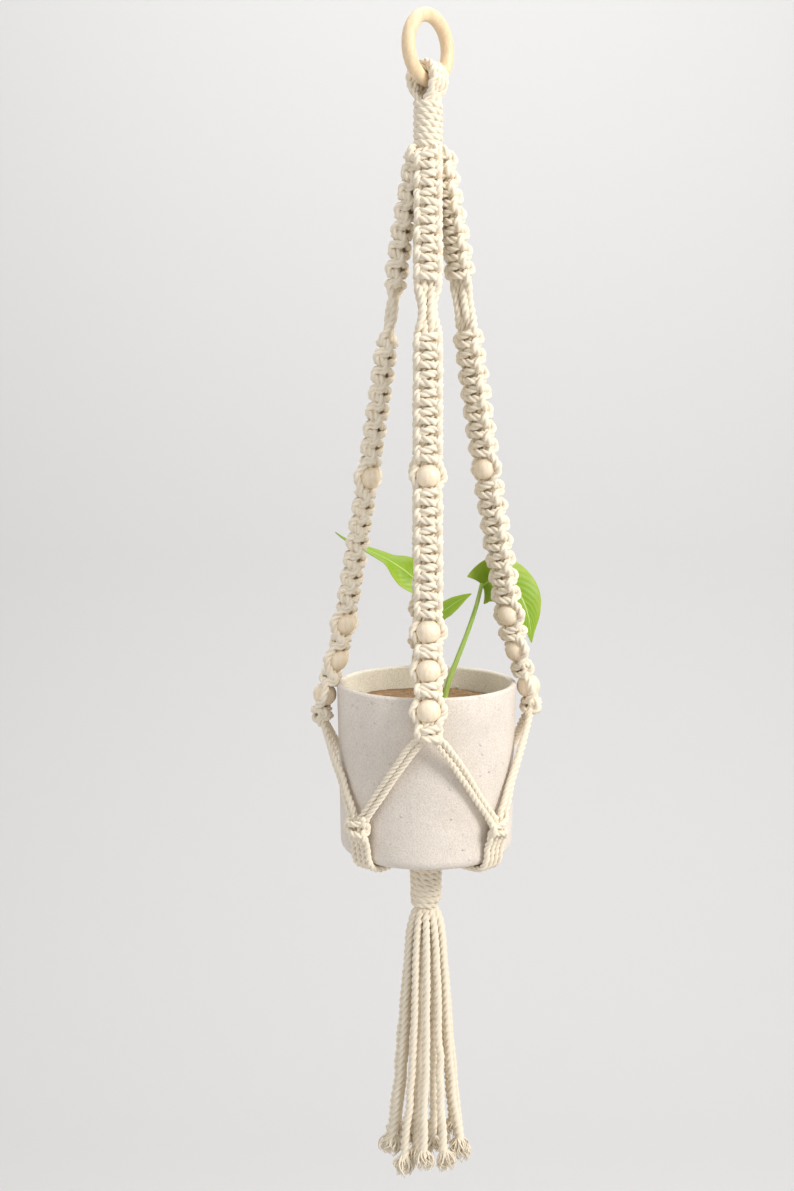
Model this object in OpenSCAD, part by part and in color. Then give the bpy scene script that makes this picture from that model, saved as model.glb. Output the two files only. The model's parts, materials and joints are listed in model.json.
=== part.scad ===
// Hanging macrame planter: wood ring, four knotted arms with beads, sling, pot, tassel.
// Origin: hook seat at the inner top of the ring. +Z up, front is -Y. Millimetres.

/* [Ring] */
// Outside diameter of the wood ring
ring_od = 50; // [40:1:70]
// Thickness of the ring's round section
ring_tube = 9; // [6:0.5:12]
// Turn of the ring's plane about the vertical, from the front
ring_turn = 51; // [0:1:90]

/* [Cord] */
// Nominal diameter of the cotton cord
cord_d = 4.4; // [3:0.1:5]
// Width of a square-knot band
band_w = 18; // [14:0.5:20]
// Thickness of a square-knot band
band_t = 10.6; // [9:0.2:11]

// Height of one square knot in a band
knot_pitch = 12; // [10:0.1:14]
// Bare length between the first two knotted lengths
bare_len = 33.3; // [20:0.1:50]

/* [Wraps] */
// Outside diameter of the wrap under the ring
top_wrap_od = 18.6; // [16:0.2:22]
// Outside diameter of the wrap under the pot
low_wrap_od = 21.6; // [19:0.2:26]
// Number of turns in each wrap
wrap_turns = 7; // [5:1:9]

/* [Beads] */
// Outside diameter of a wood bead
bead_d = 16; // [12:0.5:16]
// Bore through a bead
bead_bore = 6.1; // [5:0.1:7]

/* [Arms] */
// Twist of the two side arms about their own length
arm_twist = 50; // [0:5:60]
// How much lower the left arm hangs, and higher the right one
arm_skew = 3; // [0:0.5:4]

/* [Pot] */
// Outside diameter at the rim
pot_od = 122; // [110:1:122]
// Outside diameter at the foot
pot_foot_od = 118; // [100:1:118]
// Height of the pot
pot_h = 116.7; // [95:0.1:117]
// Wall thickness
pot_wall = 4; // [3:0.5:6]
// Depth of the soil below the rim
soil_drop = 15; // [8:1:30]

/* [Tassel] */
// Length of the loose strands
tassel_len = 200; // [120:5:220]
// Spread of the strands at their ends, as a factor
tassel_spread = 1; // [0.7:0.05:1.3]

/* [Hidden] */
$fn = 40;
cord_r = cord_d / 2;
ring_r = (ring_od - ring_tube) / 2;
ring_z = ring_tube / 2 - ring_od / 2 + ring_tube / 2;
tube_z = ring_z - ring_r;
loop_r = ring_tube / 2 + 0.85 + cord_r;
fold_step = 6.6;
half_knot_gap = 0.3;
wrap_top_z = tube_z - 10.7;
wrap_len = 33.2;
wrap_bot_z = wrap_top_z - wrap_len;
arm_top_z = wrap_bot_z - 1.6;
rim_r = pot_od / 2;
foot_r = pot_foot_od / 2;

// Arm pieces from the top down: [kind, length, lean from the vertical in degrees].
bead_len = bead_d + 0.4;
arm_top_r = 11.2;
lean_k = (rim_r + bead_d / 2 + 0.5 - arm_top_r) / 58.3;
arm_pieces = concat(
  [for (i = [1:7]) ["knot", knot_pitch, 7.1]],
  [["bare", bare_len, 8.3]],
  [for (i = [1:7]) ["knot", knot_pitch, 8.2]],
  [["bead", bead_len, 9.1]],
  [for (i = [1:7]) ["knot", knot_pitch, 9.4]],
  [["bead", bead_len, 10.6], ["knot", 8.8, 13.1], ["bead", bead_len, 14.3]],
  [["knot", 9.5, 21.5], ["bead", bead_len, 16.9], ["knot", 10.4, -6.6]]
);
arm_parts = len(arm_pieces);

// Height and radius at the lower end of each piece, added up from the top.
function arm_walk(i) = i == 0
  ? [[arm_top_z - 0.7, arm_top_r]]
  : let (
      above = arm_walk(i - 1),
      p = arm_pieces[i - 1],
      q = above[i - 1],
      lean = p[2] * (p[2] > 0 ? lean_k : 1)
    )
    concat(above, [[q[0] - p[1] * cos(lean), q[1] + p[1] * sin(lean)]]);
arm_line = arm_walk(arm_parts);
arm_end = arm_line[arm_parts];
bead_parts = [for (i = [1:arm_parts]) if (arm_pieces[i - 1][0] == "bead") i];

// Heights below the arms.
rim_z = arm_end[0] + 24.6;
foot_z = rim_z - pot_h;
corner_r = 7;
sling_knot_h = 12.4;
sling_knot_z = foot_z + 27;
sling_r = rim_r + 4.2;
low_top_z = foot_z - 11;
low_len = 32;
low_bot_z = low_top_z - low_len;
pivot_z = low_bot_z + 1.3;
skirt_z = pivot_z - 5.9;

// Each arm: [azimuth, twist, height shift, extra turn of the cords round a bead]
front = [-90, 0, 0, 0];
right = [0, arm_twist, arm_skew, 0];
back = [90, 0, 0, 0];
left = [180, -0.3 * arm_twist, -arm_skew, -0.6 * arm_twist];

// ---------- helpers ----------

function unit(v) = v / norm(v);
function lerp(a, b, t) = a + (b - a) * t;
function polar(r, a, z) = [r * cos(a), r * sin(a), z];
function dir_at(p, i) = unit(p[min(i + 1, len(p) - 1)] - p[max(i - 1, 0)]);

// Points of a round tube along a route; up is any direction never parallel to it.
function tube_points(p, r, n, up) = [
  for (i = [0:len(p) - 1])
    let (t = dir_at(p, i), s = unit(cross(up, t)), u = cross(t, s))
      for (k = [0:n - 1])
        p[i] + r * (cos(360 * k / n) * s + sin(360 * k / n) * u)
];
function tube_faces(rows, n, o) = concat(
  [[for (k = [0:n - 1]) o + k]],
  [for (i = [0:rows - 2]) for (k = [0:n - 1])
    [o + i * n + k, o + (i + 1) * n + k, o + (i + 1) * n + (k + 1) % n]],
  [for (i = [0:rows - 2]) for (k = [0:n - 1])
    [o + i * n + k, o + (i + 1) * n + (k + 1) % n, o + i * n + (k + 1) % n]],
  [[for (k = [n - 1:-1:0]) o + (rows - 1) * n + k]]
);

// Several tubes of equal row count in one solid body list.
module tubes(routes, r, n, up) {
  rows = len(routes[0]);
  polyhedron(
    points = [for (p = routes) each tube_points(p, r, n, up)],
    faces = [for (j = [0:len(routes) - 1]) each tube_faces(rows, n, j * rows * n)]
  );
}

module rod(a, b, r) {
  v = b - a;
  translate(a)
    rotate([0, acos(v[2] / norm(v)), atan2(v[1], v[0])])
      cylinder(r = r, h = norm(v));
}

// Thin curved blade: spine points, half widths, side direction, cup height, thickness.
module blade(spine, half, side, cup, thick) {
  rows = len(spine);
  m = 8;
  grid = [
    for (k = [1, -1]) for (i = [0:rows - 1])
      let (t = dir_at(spine, i), s = unit(side - (side * t) * t), u = cross(t, s))
        for (j = [0:m])
          let (q = 2 * j / m - 1)
            spine[i] + s * half[i] * q + u * (cup * q * q + k * thick / 2)
  ];
  w = m + 1;
  o = rows * w;
  edge = concat(
    [for (i = [0:rows - 1]) i * w],
    [for (j = [1:m]) (rows - 1) * w + j],
    [for (i = [rows - 2:-1:0]) i * w + m],
    [for (j = [m - 1:-1:1]) j]
  );
  polyhedron(
    points = grid,
    faces = concat(
      [for (i = [0:rows - 2]) for (j = [0:m - 1])
        [i * w + j, (i + 1) * w + j + 1, (i + 1) * w + j]],
      [for (i = [0:rows - 2]) for (j = [0:m - 1])
        [i * w + j, i * w + j + 1, (i + 1) * w + j + 1]],
      [for (i = [0:rows - 2]) for (j = [0:m - 1])
        [o + i * w + j, o + (i + 1) * w + j, o + (i + 1) * w + j + 1]],
      [for (i = [0:rows - 2]) for (j = [0:m - 1])
        [o + i * w + j, o + (i + 1) * w + j + 1, o + i * w + j + 1]],
      [for (k = [0:len(edge) - 1])
        let (a = edge[k], b = edge[(k + 1) % len(edge)])
          [a, o + b, o + a]],
      [for (k = [0:len(edge) - 1])
        let (a = edge[k], b = edge[(k + 1) % len(edge)])
          [a, b, o + b]]
    )
  );
}

// ---------- ring, loops and top wrap ----------

module hanging_ring() {
  color("#f3e0bf")
    translate([0, 0, ring_z])
      rotate([0, 0, ring_turn])
        rotate([90, 0, 0])
          rotate_extrude($fn = 96)
            translate([ring_r, 0])
              circle(d = ring_tube);
}

// Route of one cord folded over the ring: up one side, over the tube, down the other.
function fold_point(i, y, z) =
  let (a = (i - 3.5) * fold_step, c = z - ring_r)
    [c * sin(a), y, ring_z + c * cos(a)];
function fold_route(i) =
  let (r = loop_r + (i % 2) * (cord_d - 0.15))
    concat(
      [fold_point(i, -r + 0.9, -6.4)],
      [for (k = [0:12]) fold_point(i, -r * cos(15 * k), r * sin(15 * k))],
      [fold_point(i, r - 0.9, -6.4)]
    );

module ring_loops() {
  color("#ede0c8")
    rotate([0, 0, ring_turn])
      tubes([for (i = [0:7]) fold_route(i)], cord_r - 0.05, 8, [1, 0, 0]);
}

// The sixteen strands drawn together inside the top wrap, fanning out again below it.
module top_core() {
  color("#e4d5b8")
    rotate_extrude()
      polygon([
        [0, tube_z - 7], [12, tube_z - 7], [12.6, tube_z - 7.8],
        [5.7, wrap_top_z], [5.7, wrap_bot_z], [12.5, arm_top_z + 0.3],
        [12.5, arm_top_z], [0, arm_top_z]
      ]);
}

module wrap_sleeve(top, length, od, bore, turns) {
  step = length / turns;
  rotate_extrude()
    difference() {
      union() {
        translate([bore / 2, top - length])
          square([od / 2 - bore / 2 - 0.9, length]);
        for (i = [0:turns - 1])
          translate([od / 2 - step / 2, top - step * (i + 0.5)])
            circle(d = step);
      }
      translate([-1, top - length - 1])
        square([bore / 2 + 1, length + 2]);
    }
}

module top_wrap() {
  color("#ede0c8")
    wrap_sleeve(wrap_top_z, wrap_len - 0.1, top_wrap_od, 11.8, wrap_turns);
}

// ---------- arms ----------

// Twist of a side arm at a station: full above the third bead, none at the last.
function twist_at(arm, z) = arm[1] * min(1, max(0, (z - rim_z + 5.7) / 45));

// Station i of one arm: the side arms' height shift builds up over the first 60 mm.
function station(arm, i) = [
  arm_line[i][0] + arm[2] * min(1, (arm_line[0][0] - arm_line[i][0]) / 60),
  arm_line[i][1]
];
function piece_len(arm, i) = norm(station(arm, i) - station(arm, i - 1));

// Puts children at the middle of arm piece i: +Z along the arm, +X outward, +Y across.
module at_piece(arm, i) {
  a = station(arm, i - 1);
  b = station(arm, i);
  mid = (a + b) / 2;
  rotate([0, 0, arm[0]])
    translate([mid[1], 0, mid[0]])
      rotate([0, -atan((b[1] - a[1]) / (a[0] - b[0])), 0])
        rotate([0, 0, twist_at(arm, mid[0])])
          children();
}

// Long round outline of a half knot, each end in eight straight steps.
module stadium(w, t) {
  polygon([
    for (side = [1, -1], k = [0:8])
      [side * t / 2 * cos(22.5 * k), side * ((w - t) / 2 + t / 2 * sin(22.5 * k))]
  ]);
}

// One square knot: two half knots tied round the fillers, each leaning to one side.
module square_knot(h) {
  for (side = [-1, 1])
    translate([0, 0, side * h / 4])
      linear_extrude(height = h / 2 - half_knot_gap, center = true)
        difference() {
          translate([0, side * 0.6])
            stadium(band_w - 1.2, band_t);
          stadium(4 * cord_r + 0.3, 2 * cord_r + 0.5);
        }
}

module knotting_arcs() {
  r = bead_d / 2 + 0.35 + cord_r;
  for (side = [0, 180])
    rotate([90, 0, 90 + side])
      rotate([0, 0, -50])
        rotate_extrude(angle = 100)
          translate([r, 0])
            circle(r = cord_r);
}

module arm_knots(arm) {
  color("#ede0c8")
    for (i = [1:arm_parts])
      at_piece(arm, i) {
        if (arm_pieces[i - 1][0] == "knot")
          square_knot(piece_len(arm, i) - 0.9);
        if (arm_pieces[i - 1][0] == "bead")
          rotate([0, 0, station(arm, i)[0] > rim_z ? arm[3] : 0])
            knotting_arcs();
        if (arm_pieces[i - 1][0] == "bare")
          for (side = [-1, 1])
            translate([0, side * (band_w / 2 - cord_r - 0.15), 0])
              cylinder(r = cord_r - 0.1, h = piece_len(arm, i) + 1, center = true);
      }
}

// Local point of arm piece i carried into the planter's frame.
function place(arm, i, p) =
  let (
    a = station(arm, i - 1),
    b = station(arm, i),
    mid = (a + b) / 2,
    lean = atan((b[1] - a[1]) / (a[0] - b[0])),
    tw = twist_at(arm, mid[0]),
    x = p[0] * cos(tw) - p[1] * sin(tw),
    y = p[0] * sin(tw) + p[1] * cos(tw),
    r = mid[1] + x * cos(lean) - p[2] * sin(lean),
    z = mid[0] + x * sin(lean) + p[2] * cos(lean)
  )
    [r * cos(arm[0]) - y * sin(arm[0]), r * sin(arm[0]) + y * cos(arm[0]), z];

// Ring of points round the two filler cords, drawn in to one core inside a bead.
function filler_row(arm, i, end) =
  let (
    bead_here = arm_pieces[i - 1][0] == "bead",
    t = bead_here ? bead_bore / 2 - 0.3 : cord_r - 0.05,
    w = bead_here ? 0 : cord_r - 0.1,
    h = end * (piece_len(arm, i) / 2 - 0.4)
  )
    [for (k = [0:7])
      let (a = 45 * k + 22.5)
        place(arm, i, [t * cos(a), w * sign(sin(a)) + t * sin(a), h])];

module arm_fillers(arm) {
  rows = 2 * arm_parts;
  color("#e4d5b8")
    polyhedron(
      points = [for (i = [1:arm_parts]) for (end = [1, -1]) each filler_row(arm, i, end)],
      faces = tube_faces(rows, 8, 0)
    );
}

module bead(arm, k) {
  color("#eed9b5")
    at_piece(arm, bead_parts[k - 1])
      difference() {
        sphere(d = bead_d, $fn = 48);
        cylinder(d = bead_bore, h = bead_d + 2, center = true);
      }
}

// ---------- sling round the pot ----------

// Two cords from an arm's last knot, slanting round the pot to a sling knot.
module sling_pair(arm, turn) {
  z0 = arm_end[0] + arm[2] - 0.35;
  z1 = sling_knot_z + sling_knot_h / 2 + 1.6;
  routes = [for (k = [0, 1])
    let (
      a0 = arm[0] + turn * (2.5 + 5.6 * k) * 180 / PI / arm_end[1],
      a1 = arm[0] + turn * (45 - (8.1 - 5.6 * k) * 180 / PI / sling_r)
    )
      [for (t = [0, 0.12, 0.28, 0.44, 0.58, 0.72, 0.88, 1])
        polar(
          lerp(arm_end[1], sling_r, min(1, t * 1.6)) - 1.4 * sin(180 * t),
          lerp(a0, a1, t), lerp(z0, z1, t)
        )]
  ];
  color("#ede0c8")
    tubes(routes, cord_r - 0.1, 8, polar(1, arm[0] + turn * 22, 0));
}

module sling_knot(azimuth) {
  color("#ede0c8")
    rotate([0, 0, azimuth])
      translate([sling_r, 0, sling_knot_z])
        for (k = [0, 1])
          translate([0, (k - 0.5) * 1.4, (k - 1) * sling_knot_h / 2])
            linear_extrude(height = sling_knot_h / 2)
              stadium(band_w, band_t - 3.4);
}

// Four cords side by side, over the pot's foot and in below it.
module base_cords(azimuth) {
  c = [foot_r - corner_r, foot_z + corner_r];
  bend = corner_r + cord_r + 0.85;
  run = concat(
    [[sling_r, sling_knot_z - sling_knot_h / 2 - 0.8]],
    [[lerp(sling_r, c[0] + bend, 0.6), lerp(sling_knot_z - 6, c[1], 0.45)]],
    [for (a = [0, 30, 60, 90]) [c[0] + bend * cos(a), c[1] - bend * sin(a)]],
    [[40, c[1] - bend - 0.1], [26, c[1] - bend - 0.2], [12.2, c[1] - bend - 0.3]]
  );
  color("#ede0c8")
    rotate([0, 0, azimuth])
      tubes(
        [for (k = [-1.5:1:1.5]) [for (q = run) [q[0], k * (cord_d + 0.1), q[1]]]],
        cord_r - 0.02, 8, [0, 1, 0]
      );
}

// ---------- gather, lower wrap and tassel ----------

module base_gather() {
  color("#e4d5b8")
    difference() {
      rotate_extrude()
        polygon([
          [0, foot_z - 0.5], [11.9, foot_z - 0.5], [12, foot_z - 5.4],
          [10, low_top_z + 0.1], [6.6, low_top_z], [6.6, low_bot_z + 0.1],
          [0, low_bot_z + 0.1]
        ]);
      translate([0, 0, pivot_z])
        sphere(r = 3.5);
    }
}

module bottom_wrap() {
  color("#ede0c8")
    wrap_sleeve(low_top_z, low_len, low_wrap_od, 13.4, wrap_turns);
}

module tassel_top() {
  color("#e4d5b8")
    union() {
      translate([0, 0, pivot_z])
        sphere(r = 3.2);
      translate([0, 0, skirt_z - 0.5])
        cylinder(r = 2, h = pivot_z - skirt_z + 0.5);
      translate([0, 0, skirt_z - 0.5])
        cylinder(r = 9.6, h = 0.9);
    }
}

// Strand routes: two rings of cords that open out downwards with slow bends.
function strand(i) =
  let (
    outer = i < 11,
    a = outer ? i * 360 / 11 + 8 : (i - 11) * 72 + 20,
    r0 = outer ? 8.1 : 3.75,
    r1 = (outer ? 26 : 11) * tassel_spread,
    drop = tassel_len - 11 - 10 * abs(sin(i * 77)) - (i == 8 ? 0 : 3)
  )
    [for (t = [0, 0.04, 0.1, 0.2, 0.3, 0.4, 0.5, 0.6, 0.7, 0.8, 0.9, 1])
      let (
        open = outer ? 2.6 * (1 - exp(-t * 26)) : 0.5 * (1 - exp(-t * 26)),
        r = r0 + open + (r1 - r0 - open) * (0.45 * t + 0.55 * t * t * t),
        sway = (outer ? 5 : 7) * sin(t * 300 + i * 47) * t
      )
        polar(r, a + sway, skirt_z - 1.1 - drop * t)];

module tassel_cords() {
  color("#ede0c8")
    tubes([for (i = [0:15]) strand(i)], cord_r - 0.1, 8, [0.13, 1, 0.05]);
}

// ---------- pot, soil and plant ----------

module pot() {
  in_r = rim_r - pot_wall;
  color("#e0d3c5")
    rotate_extrude($fn = 128) {
      difference() {
        union() {
          polygon([
            [0, foot_z], [foot_r - corner_r, foot_z], [foot_r, foot_z + corner_r],
            [rim_r, rim_z - pot_wall / 2], [0, rim_z - pot_wall / 2]
          ]);
          translate([foot_r - corner_r, foot_z + corner_r])
            circle(r = corner_r);
        }
        polygon([
          [-1, foot_z + 5], [foot_r - pot_wall - 5, foot_z + 5],
          [foot_r - pot_wall, foot_z + 10], [in_r, rim_z - pot_wall / 2],
          [in_r, rim_z + 2], [-1, rim_z + 2]
        ]);
      }
      translate([rim_r - pot_wall / 2, rim_z - pot_wall / 2])
        circle(d = pot_wall);
    }
}

module soil() {
  top_r = lerp(foot_r, rim_r, (pot_h - soil_drop) / pot_h) - pot_wall;
  color("#8a5f45")
    rotate_extrude($fn = 128)
      polygon([
        [0, foot_z + 5.1], [foot_r - pot_wall - 5.2, foot_z + 5.1],
        [foot_r - pot_wall - 0.2, foot_z + 10.1], [top_r - 0.2, rim_z - soil_drop],
        [30, rim_z - soil_drop + 1], [0, rim_z - soil_drop + 1.5]
      ]);
}

left_base = [-9, 15, -363];
right_base = [37, 10, -367];
small_base = [8, -4, -385];

module left_leaf() {
  color("#7fb52b")
    blade(
      [left_base, [-16, 16.5, -357.5], [-24, 18.5, -352.5], [-33, 20.5, -348],
       [-42, 21.5, -344], [-51, 22, -340], [-58, 22, -336], [-63, 21.5, -332]],
      [2.5, 9.5, 12.5, 12.5, 10.5, 7.5, 4, 0.5], [0.25, 0.55, 0.8], 1.5, 0.8
    );
}

module right_leaf() {
  color("#7fb52b")
    blade(
      [right_base, [42, 13, -362], [49, 17, -361], [57, 20, -365],
       [64, 22, -373], [69, 22, -384], [72, 21, -397], [73, 19, -409]],
      [9, 17, 20, 20, 17.5, 13.5, 7.5, 0.5], [0.55, 0.25, 0.75], 2, 0.8
    );
}

module small_leaf() {
  color("#8fc23a")
    blade(
      [small_base, [12, -5, -382.5], [17, -6, -379], [22, -7, -375.5],
       [26, -7.5, -373], [30, -8, -371]],
      [1, 3, 4, 3.5, 2, 0.4], [-0.4, 0.5, 0.7], 0.6, 0.7
    );
}

module stems() {
  soil_z = rim_z - soil_drop + 1.45;
  color("#a3c94a")
    tubes(
      [
        [left_base + [1, 0, -1.8], [-5, 14, -372], [-2, 11, -392], [0, 9, -415],
         [1, 7, -432], [1.5, 5, soil_z]],
        [small_base + [-0.8, 0, -1.6], [5.5, -3.5, -392], [4, -3, -402], [3.5, -2, -415],
         [4.5, -1.5, -432], [5.5, -1.5, soil_z]],
        [right_base + [-0.8, 0.2, -2.2], [34, 9, -382], [28, 7, -400], [21, 5, -418],
         [15, 3.5, -434], [12, 3, soil_z]]
      ],
      1.1, 8, [0.2, 1, 0.1]
    );
}

// ---------- output ----------

hanging_ring();
ring_loops();
top_core();
top_wrap();
arm_fillers(front);  // front_arm_fillers
arm_knots(front);  // front_arm_knots
arm_fillers(right);  // right_arm_fillers
arm_knots(right);  // right_arm_knots
arm_fillers(back);  // back_arm_fillers
arm_knots(back);  // back_arm_knots
arm_fillers(left);  // left_arm_fillers
arm_knots(left);  // left_arm_knots
bead(front, 1);  // front_bead_1
bead(front, 2);  // front_bead_2
bead(front, 3);  // front_bead_3
bead(front, 4);  // front_bead_4
bead(right, 1);  // right_bead_1
bead(right, 2);  // right_bead_2
bead(right, 3);  // right_bead_3
bead(right, 4);  // right_bead_4
bead(back, 1);  // back_bead_1
bead(back, 2);  // back_bead_2
bead(back, 3);  // back_bead_3
bead(back, 4);  // back_bead_4
bead(left, 1);  // left_bead_1
bead(left, 2);  // left_bead_2
bead(left, 3);  // left_bead_3
bead(left, 4);  // left_bead_4
sling_pair(front, -1);  // front_cords_to_left
sling_pair(front, 1);  // front_cords_to_right
sling_pair(right, -1);  // right_cords_to_front
sling_pair(right, 1);  // right_cords_to_back
sling_pair(back, -1);  // back_cords_to_right
sling_pair(back, 1);  // back_cords_to_left
sling_pair(left, -1);  // left_cords_to_back
sling_pair(left, 1);  // left_cords_to_front
sling_knot(-45);  // sling_knot_front_right
sling_knot(45);  // sling_knot_back_right
sling_knot(135);  // sling_knot_back_left
sling_knot(225);  // sling_knot_front_left
base_cords(-45);  // base_cords_front_right
base_cords(45);  // base_cords_back_right
base_cords(135);  // base_cords_back_left
base_cords(225);  // base_cords_front_left
base_gather();
bottom_wrap();
tassel_top();
tassel_cords();
pot();
soil();
left_leaf();
right_leaf();
small_leaf();
stems();
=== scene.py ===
"""Looks of the hanging macrame planter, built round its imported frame."""
import json
import math

import bmesh
import bpy
import numpy as np
from bpy.props import FloatProperty, FloatVectorProperty, PointerProperty
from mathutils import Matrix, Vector


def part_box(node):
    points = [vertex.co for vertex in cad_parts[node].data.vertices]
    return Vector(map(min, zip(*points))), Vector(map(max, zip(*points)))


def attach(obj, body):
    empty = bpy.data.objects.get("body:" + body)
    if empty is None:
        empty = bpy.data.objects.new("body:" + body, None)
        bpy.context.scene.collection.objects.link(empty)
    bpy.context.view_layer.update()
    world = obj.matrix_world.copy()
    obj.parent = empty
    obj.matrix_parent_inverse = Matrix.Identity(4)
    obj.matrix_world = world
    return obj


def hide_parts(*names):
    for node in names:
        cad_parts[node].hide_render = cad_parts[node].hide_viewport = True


bl_info = {
    "name": "Macrame Planter",
    "version": (1, 0, 0),
    "blender": (4, 5, 0),
    "location": "View3D > Sidebar > Planter",
    "description": "Builds the cords, beads, pot and plant of a hanging macrame planter",
    "category": "Add Mesh",
}

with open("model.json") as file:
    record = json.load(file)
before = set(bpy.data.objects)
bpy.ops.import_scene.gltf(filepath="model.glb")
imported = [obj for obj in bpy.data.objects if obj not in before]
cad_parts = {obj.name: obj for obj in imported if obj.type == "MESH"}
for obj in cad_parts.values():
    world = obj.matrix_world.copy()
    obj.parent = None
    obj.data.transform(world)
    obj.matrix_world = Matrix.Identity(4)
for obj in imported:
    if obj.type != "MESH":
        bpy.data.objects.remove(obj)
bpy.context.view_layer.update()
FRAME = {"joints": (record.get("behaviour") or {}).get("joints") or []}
MM = 0.001
SEED = 7


def node_size(name):
    """Edge lengths of a CAD node's box, in metres."""
    low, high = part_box(name)
    return [high[k] - low[k] for k in range(3)]


def srgb(code):
    """Linear RGBA of an sRGB hex colour."""
    parts = [int(code[k:k + 2], 16) / 255 for k in (1, 3, 5)]
    return [c / 12.92 if c <= 0.04045 else ((c + 0.055) / 1.055) ** 2.4 for c in parts] + [1.0]


# ---------------------------------------------------------------- settings

RING_TUBE = 9.0 * MM
RING_CENTRE_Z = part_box("hanging_ring")[0][2] + node_size("hanging_ring")[2] / 2
RING_R = (node_size("hanging_ring")[2] - RING_TUBE) / 2
RING_TURN = math.radians(51)
TUBE_Z = RING_CENTRE_Z - RING_R
WRAP_TOP, WRAP_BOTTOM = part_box("top_wrap")[1][2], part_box("top_wrap")[0][2]
LOW_TOP, LOW_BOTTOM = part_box("bottom_wrap")[1][2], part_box("bottom_wrap")[0][2]
RIM_Z, FOOT_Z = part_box("pot")[1][2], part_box("pot")[0][2]
RIM_R = node_size("pot")[0] / 2
FOOT_R = RIM_R - 2 * MM
SOIL_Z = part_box("soil")[1][2]
SLING_KNOT_LOW, SLING_KNOT_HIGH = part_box("sling_knot_front_left")
SLING_KNOT_Z = (SLING_KNOT_LOW[2] + SLING_KNOT_HIGH[2]) / 2
SLING_R = RIM_R + 4.2 * MM
TASSEL_PIVOT = Vector(next(j["pos_m"] for j in FRAME["joints"] if j["name"] == "tassel_swing"))


def tint(name, description, code):
    """Colour property from an sRGB hex colour."""
    return FloatVectorProperty(
        name=name, description=description, subtype="COLOR", size=4, default=srgb(code))


def size(name, description, value):
    """Length property, in metres."""
    return FloatProperty(name=name, description=description, default=value, unit="LENGTH")


class CordSettings(bpy.types.PropertyGroup):
    diameter: size("Cord diameter", "Diameter of the twisted cotton cord", 4.6 * MM)
    lay: size("Lay length", "Length of one full turn of the three plies", 12.8 * MM)
    ply: FloatProperty(
        name="Ply size", description="Radius of one ply over the radius of the cord",
        default=0.53, min=0.5, max=1)
    ring_step: size("Ring step", "Spacing of the mesh rings along a cord", 1.05 * MM)
    colour: tint("Cotton", "Colour of the natural cotton", "#fdfcfb")
    # Painted shade: this darker colour is multiplied into the creases between the plies, standing in for the
    # shade that falls there.
    shade: tint("Cotton shade", "Colour deep between the plies", "#e9dfd1")


class WoodSettings(bpy.types.PropertyGroup):
    bead: size("Bead diameter", "Outside diameter of a bead", node_size("front_bead_1")[0])
    bore: size("Bead bore", "Hole through a bead", 6.1 * MM)
    ring: tint("Ring wood", "Warmer wood of the ring", "#f1d9b4")
    light: tint("Early wood", "Lighter wood between the grain lines", "#f7e9d2")
    dark: tint("Late wood", "Darker wood in the grain lines", "#f1dfc2")


class PotSettings(bpy.types.PropertyGroup):
    wall: size("Wall", "Wall thickness of the pot", 4 * MM)
    body: tint("Stoneware", "Colour of the unglazed outside", "#e8e0d6")
    inside: tint("Inside", "Colour of the inside wall", "#eeebdc")
    soil: tint("Soil", "Colour of the potting soil", "#9c7b58")


class PlantSettings(bpy.types.PropertyGroup):
    leaf: tint("Leaf", "Colour of the leaf blade", "#86a81e")
    young: tint("Young leaf", "Yellower green towards the margins", "#a1b53c")
    stem: tint("Stem", "Colour of the leaf stalks", "#c0d57c")


class StageSettings(bpy.types.PropertyGroup):
    wall: tint("Backdrop", "Colour of the floor and backdrop", "#dad9d8")
    distance: size("Camera distance", "From the camera to the planter's axis", 1.024)
    pitch: FloatProperty(
        name="Camera pitch", description="How far the camera looks down",
        default=math.radians(7.8), subtype="ANGLE")


def settings():
    return bpy.context.scene.planter


class PlanterSettings(bpy.types.PropertyGroup):
    cord: PointerProperty(type=CordSettings)
    wood: PointerProperty(type=WoodSettings)
    pot: PointerProperty(type=PotSettings)
    plant: PointerProperty(type=PlantSettings)
    stage: PointerProperty(type=StageSettings)


# ---------------------------------------------------------------- shared mesh code

def unit(v):
    return v / np.maximum(np.linalg.norm(v, axis=-1, keepdims=True), 1e-12)


def make_object(name, points, faces, uv=None, smooth=True, period=0):
    """New object from point and face arrays, with an optional UV for each point.

    Where U runs round a closed outline, period is its whole length. A face that crosses the
    seam has its low end raised by it, so a pattern isn't squeezed backwards there.
    """
    mesh = bpy.data.meshes.new(name)
    mesh.from_pydata(points.tolist(), [], [tuple(f) for f in faces])
    mesh.update()
    if uv is not None:
        layer = mesh.uv_layers.new(name="surface")
        loop_point = np.empty(len(mesh.loops), dtype=np.int32)
        mesh.loops.foreach_get("vertex_index", loop_point)
        loops = uv[loop_point].astype(np.float32)
        if period:
            starts = np.empty(len(mesh.polygons), dtype=np.int32)
            totals = np.empty(len(mesh.polygons), dtype=np.int32)
            mesh.polygons.foreach_get("loop_start", starts)
            mesh.polygons.foreach_get("loop_total", totals)
            highest = np.repeat(np.maximum.reduceat(loops[:, 0], starts), totals)
            loops[:, 0] += np.where(highest - loops[:, 0] > period / 2, period, 0)
        layer.data.foreach_set("uv", loops.ravel())
    mesh.polygons.foreach_set("use_smooth", [smooth] * len(mesh.polygons))
    obj = bpy.data.objects.new(name, mesh)
    bpy.context.scene.collection.objects.link(obj)
    return obj


def grid_faces(rows, columns, wrap=True, start=0):
    """Quads of a grid of points, row by row; wrap joins the last column to the first."""
    i, j = np.meshgrid(np.arange(rows - 1), np.arange(columns if wrap else columns - 1),
                       indexing="ij")
    k = (j + 1) % columns
    quads = np.stack([i * columns + j, i * columns + k,
                      (i + 1) * columns + k, (i + 1) * columns + j], -1)
    return quads.reshape(-1, 4) + start


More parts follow.
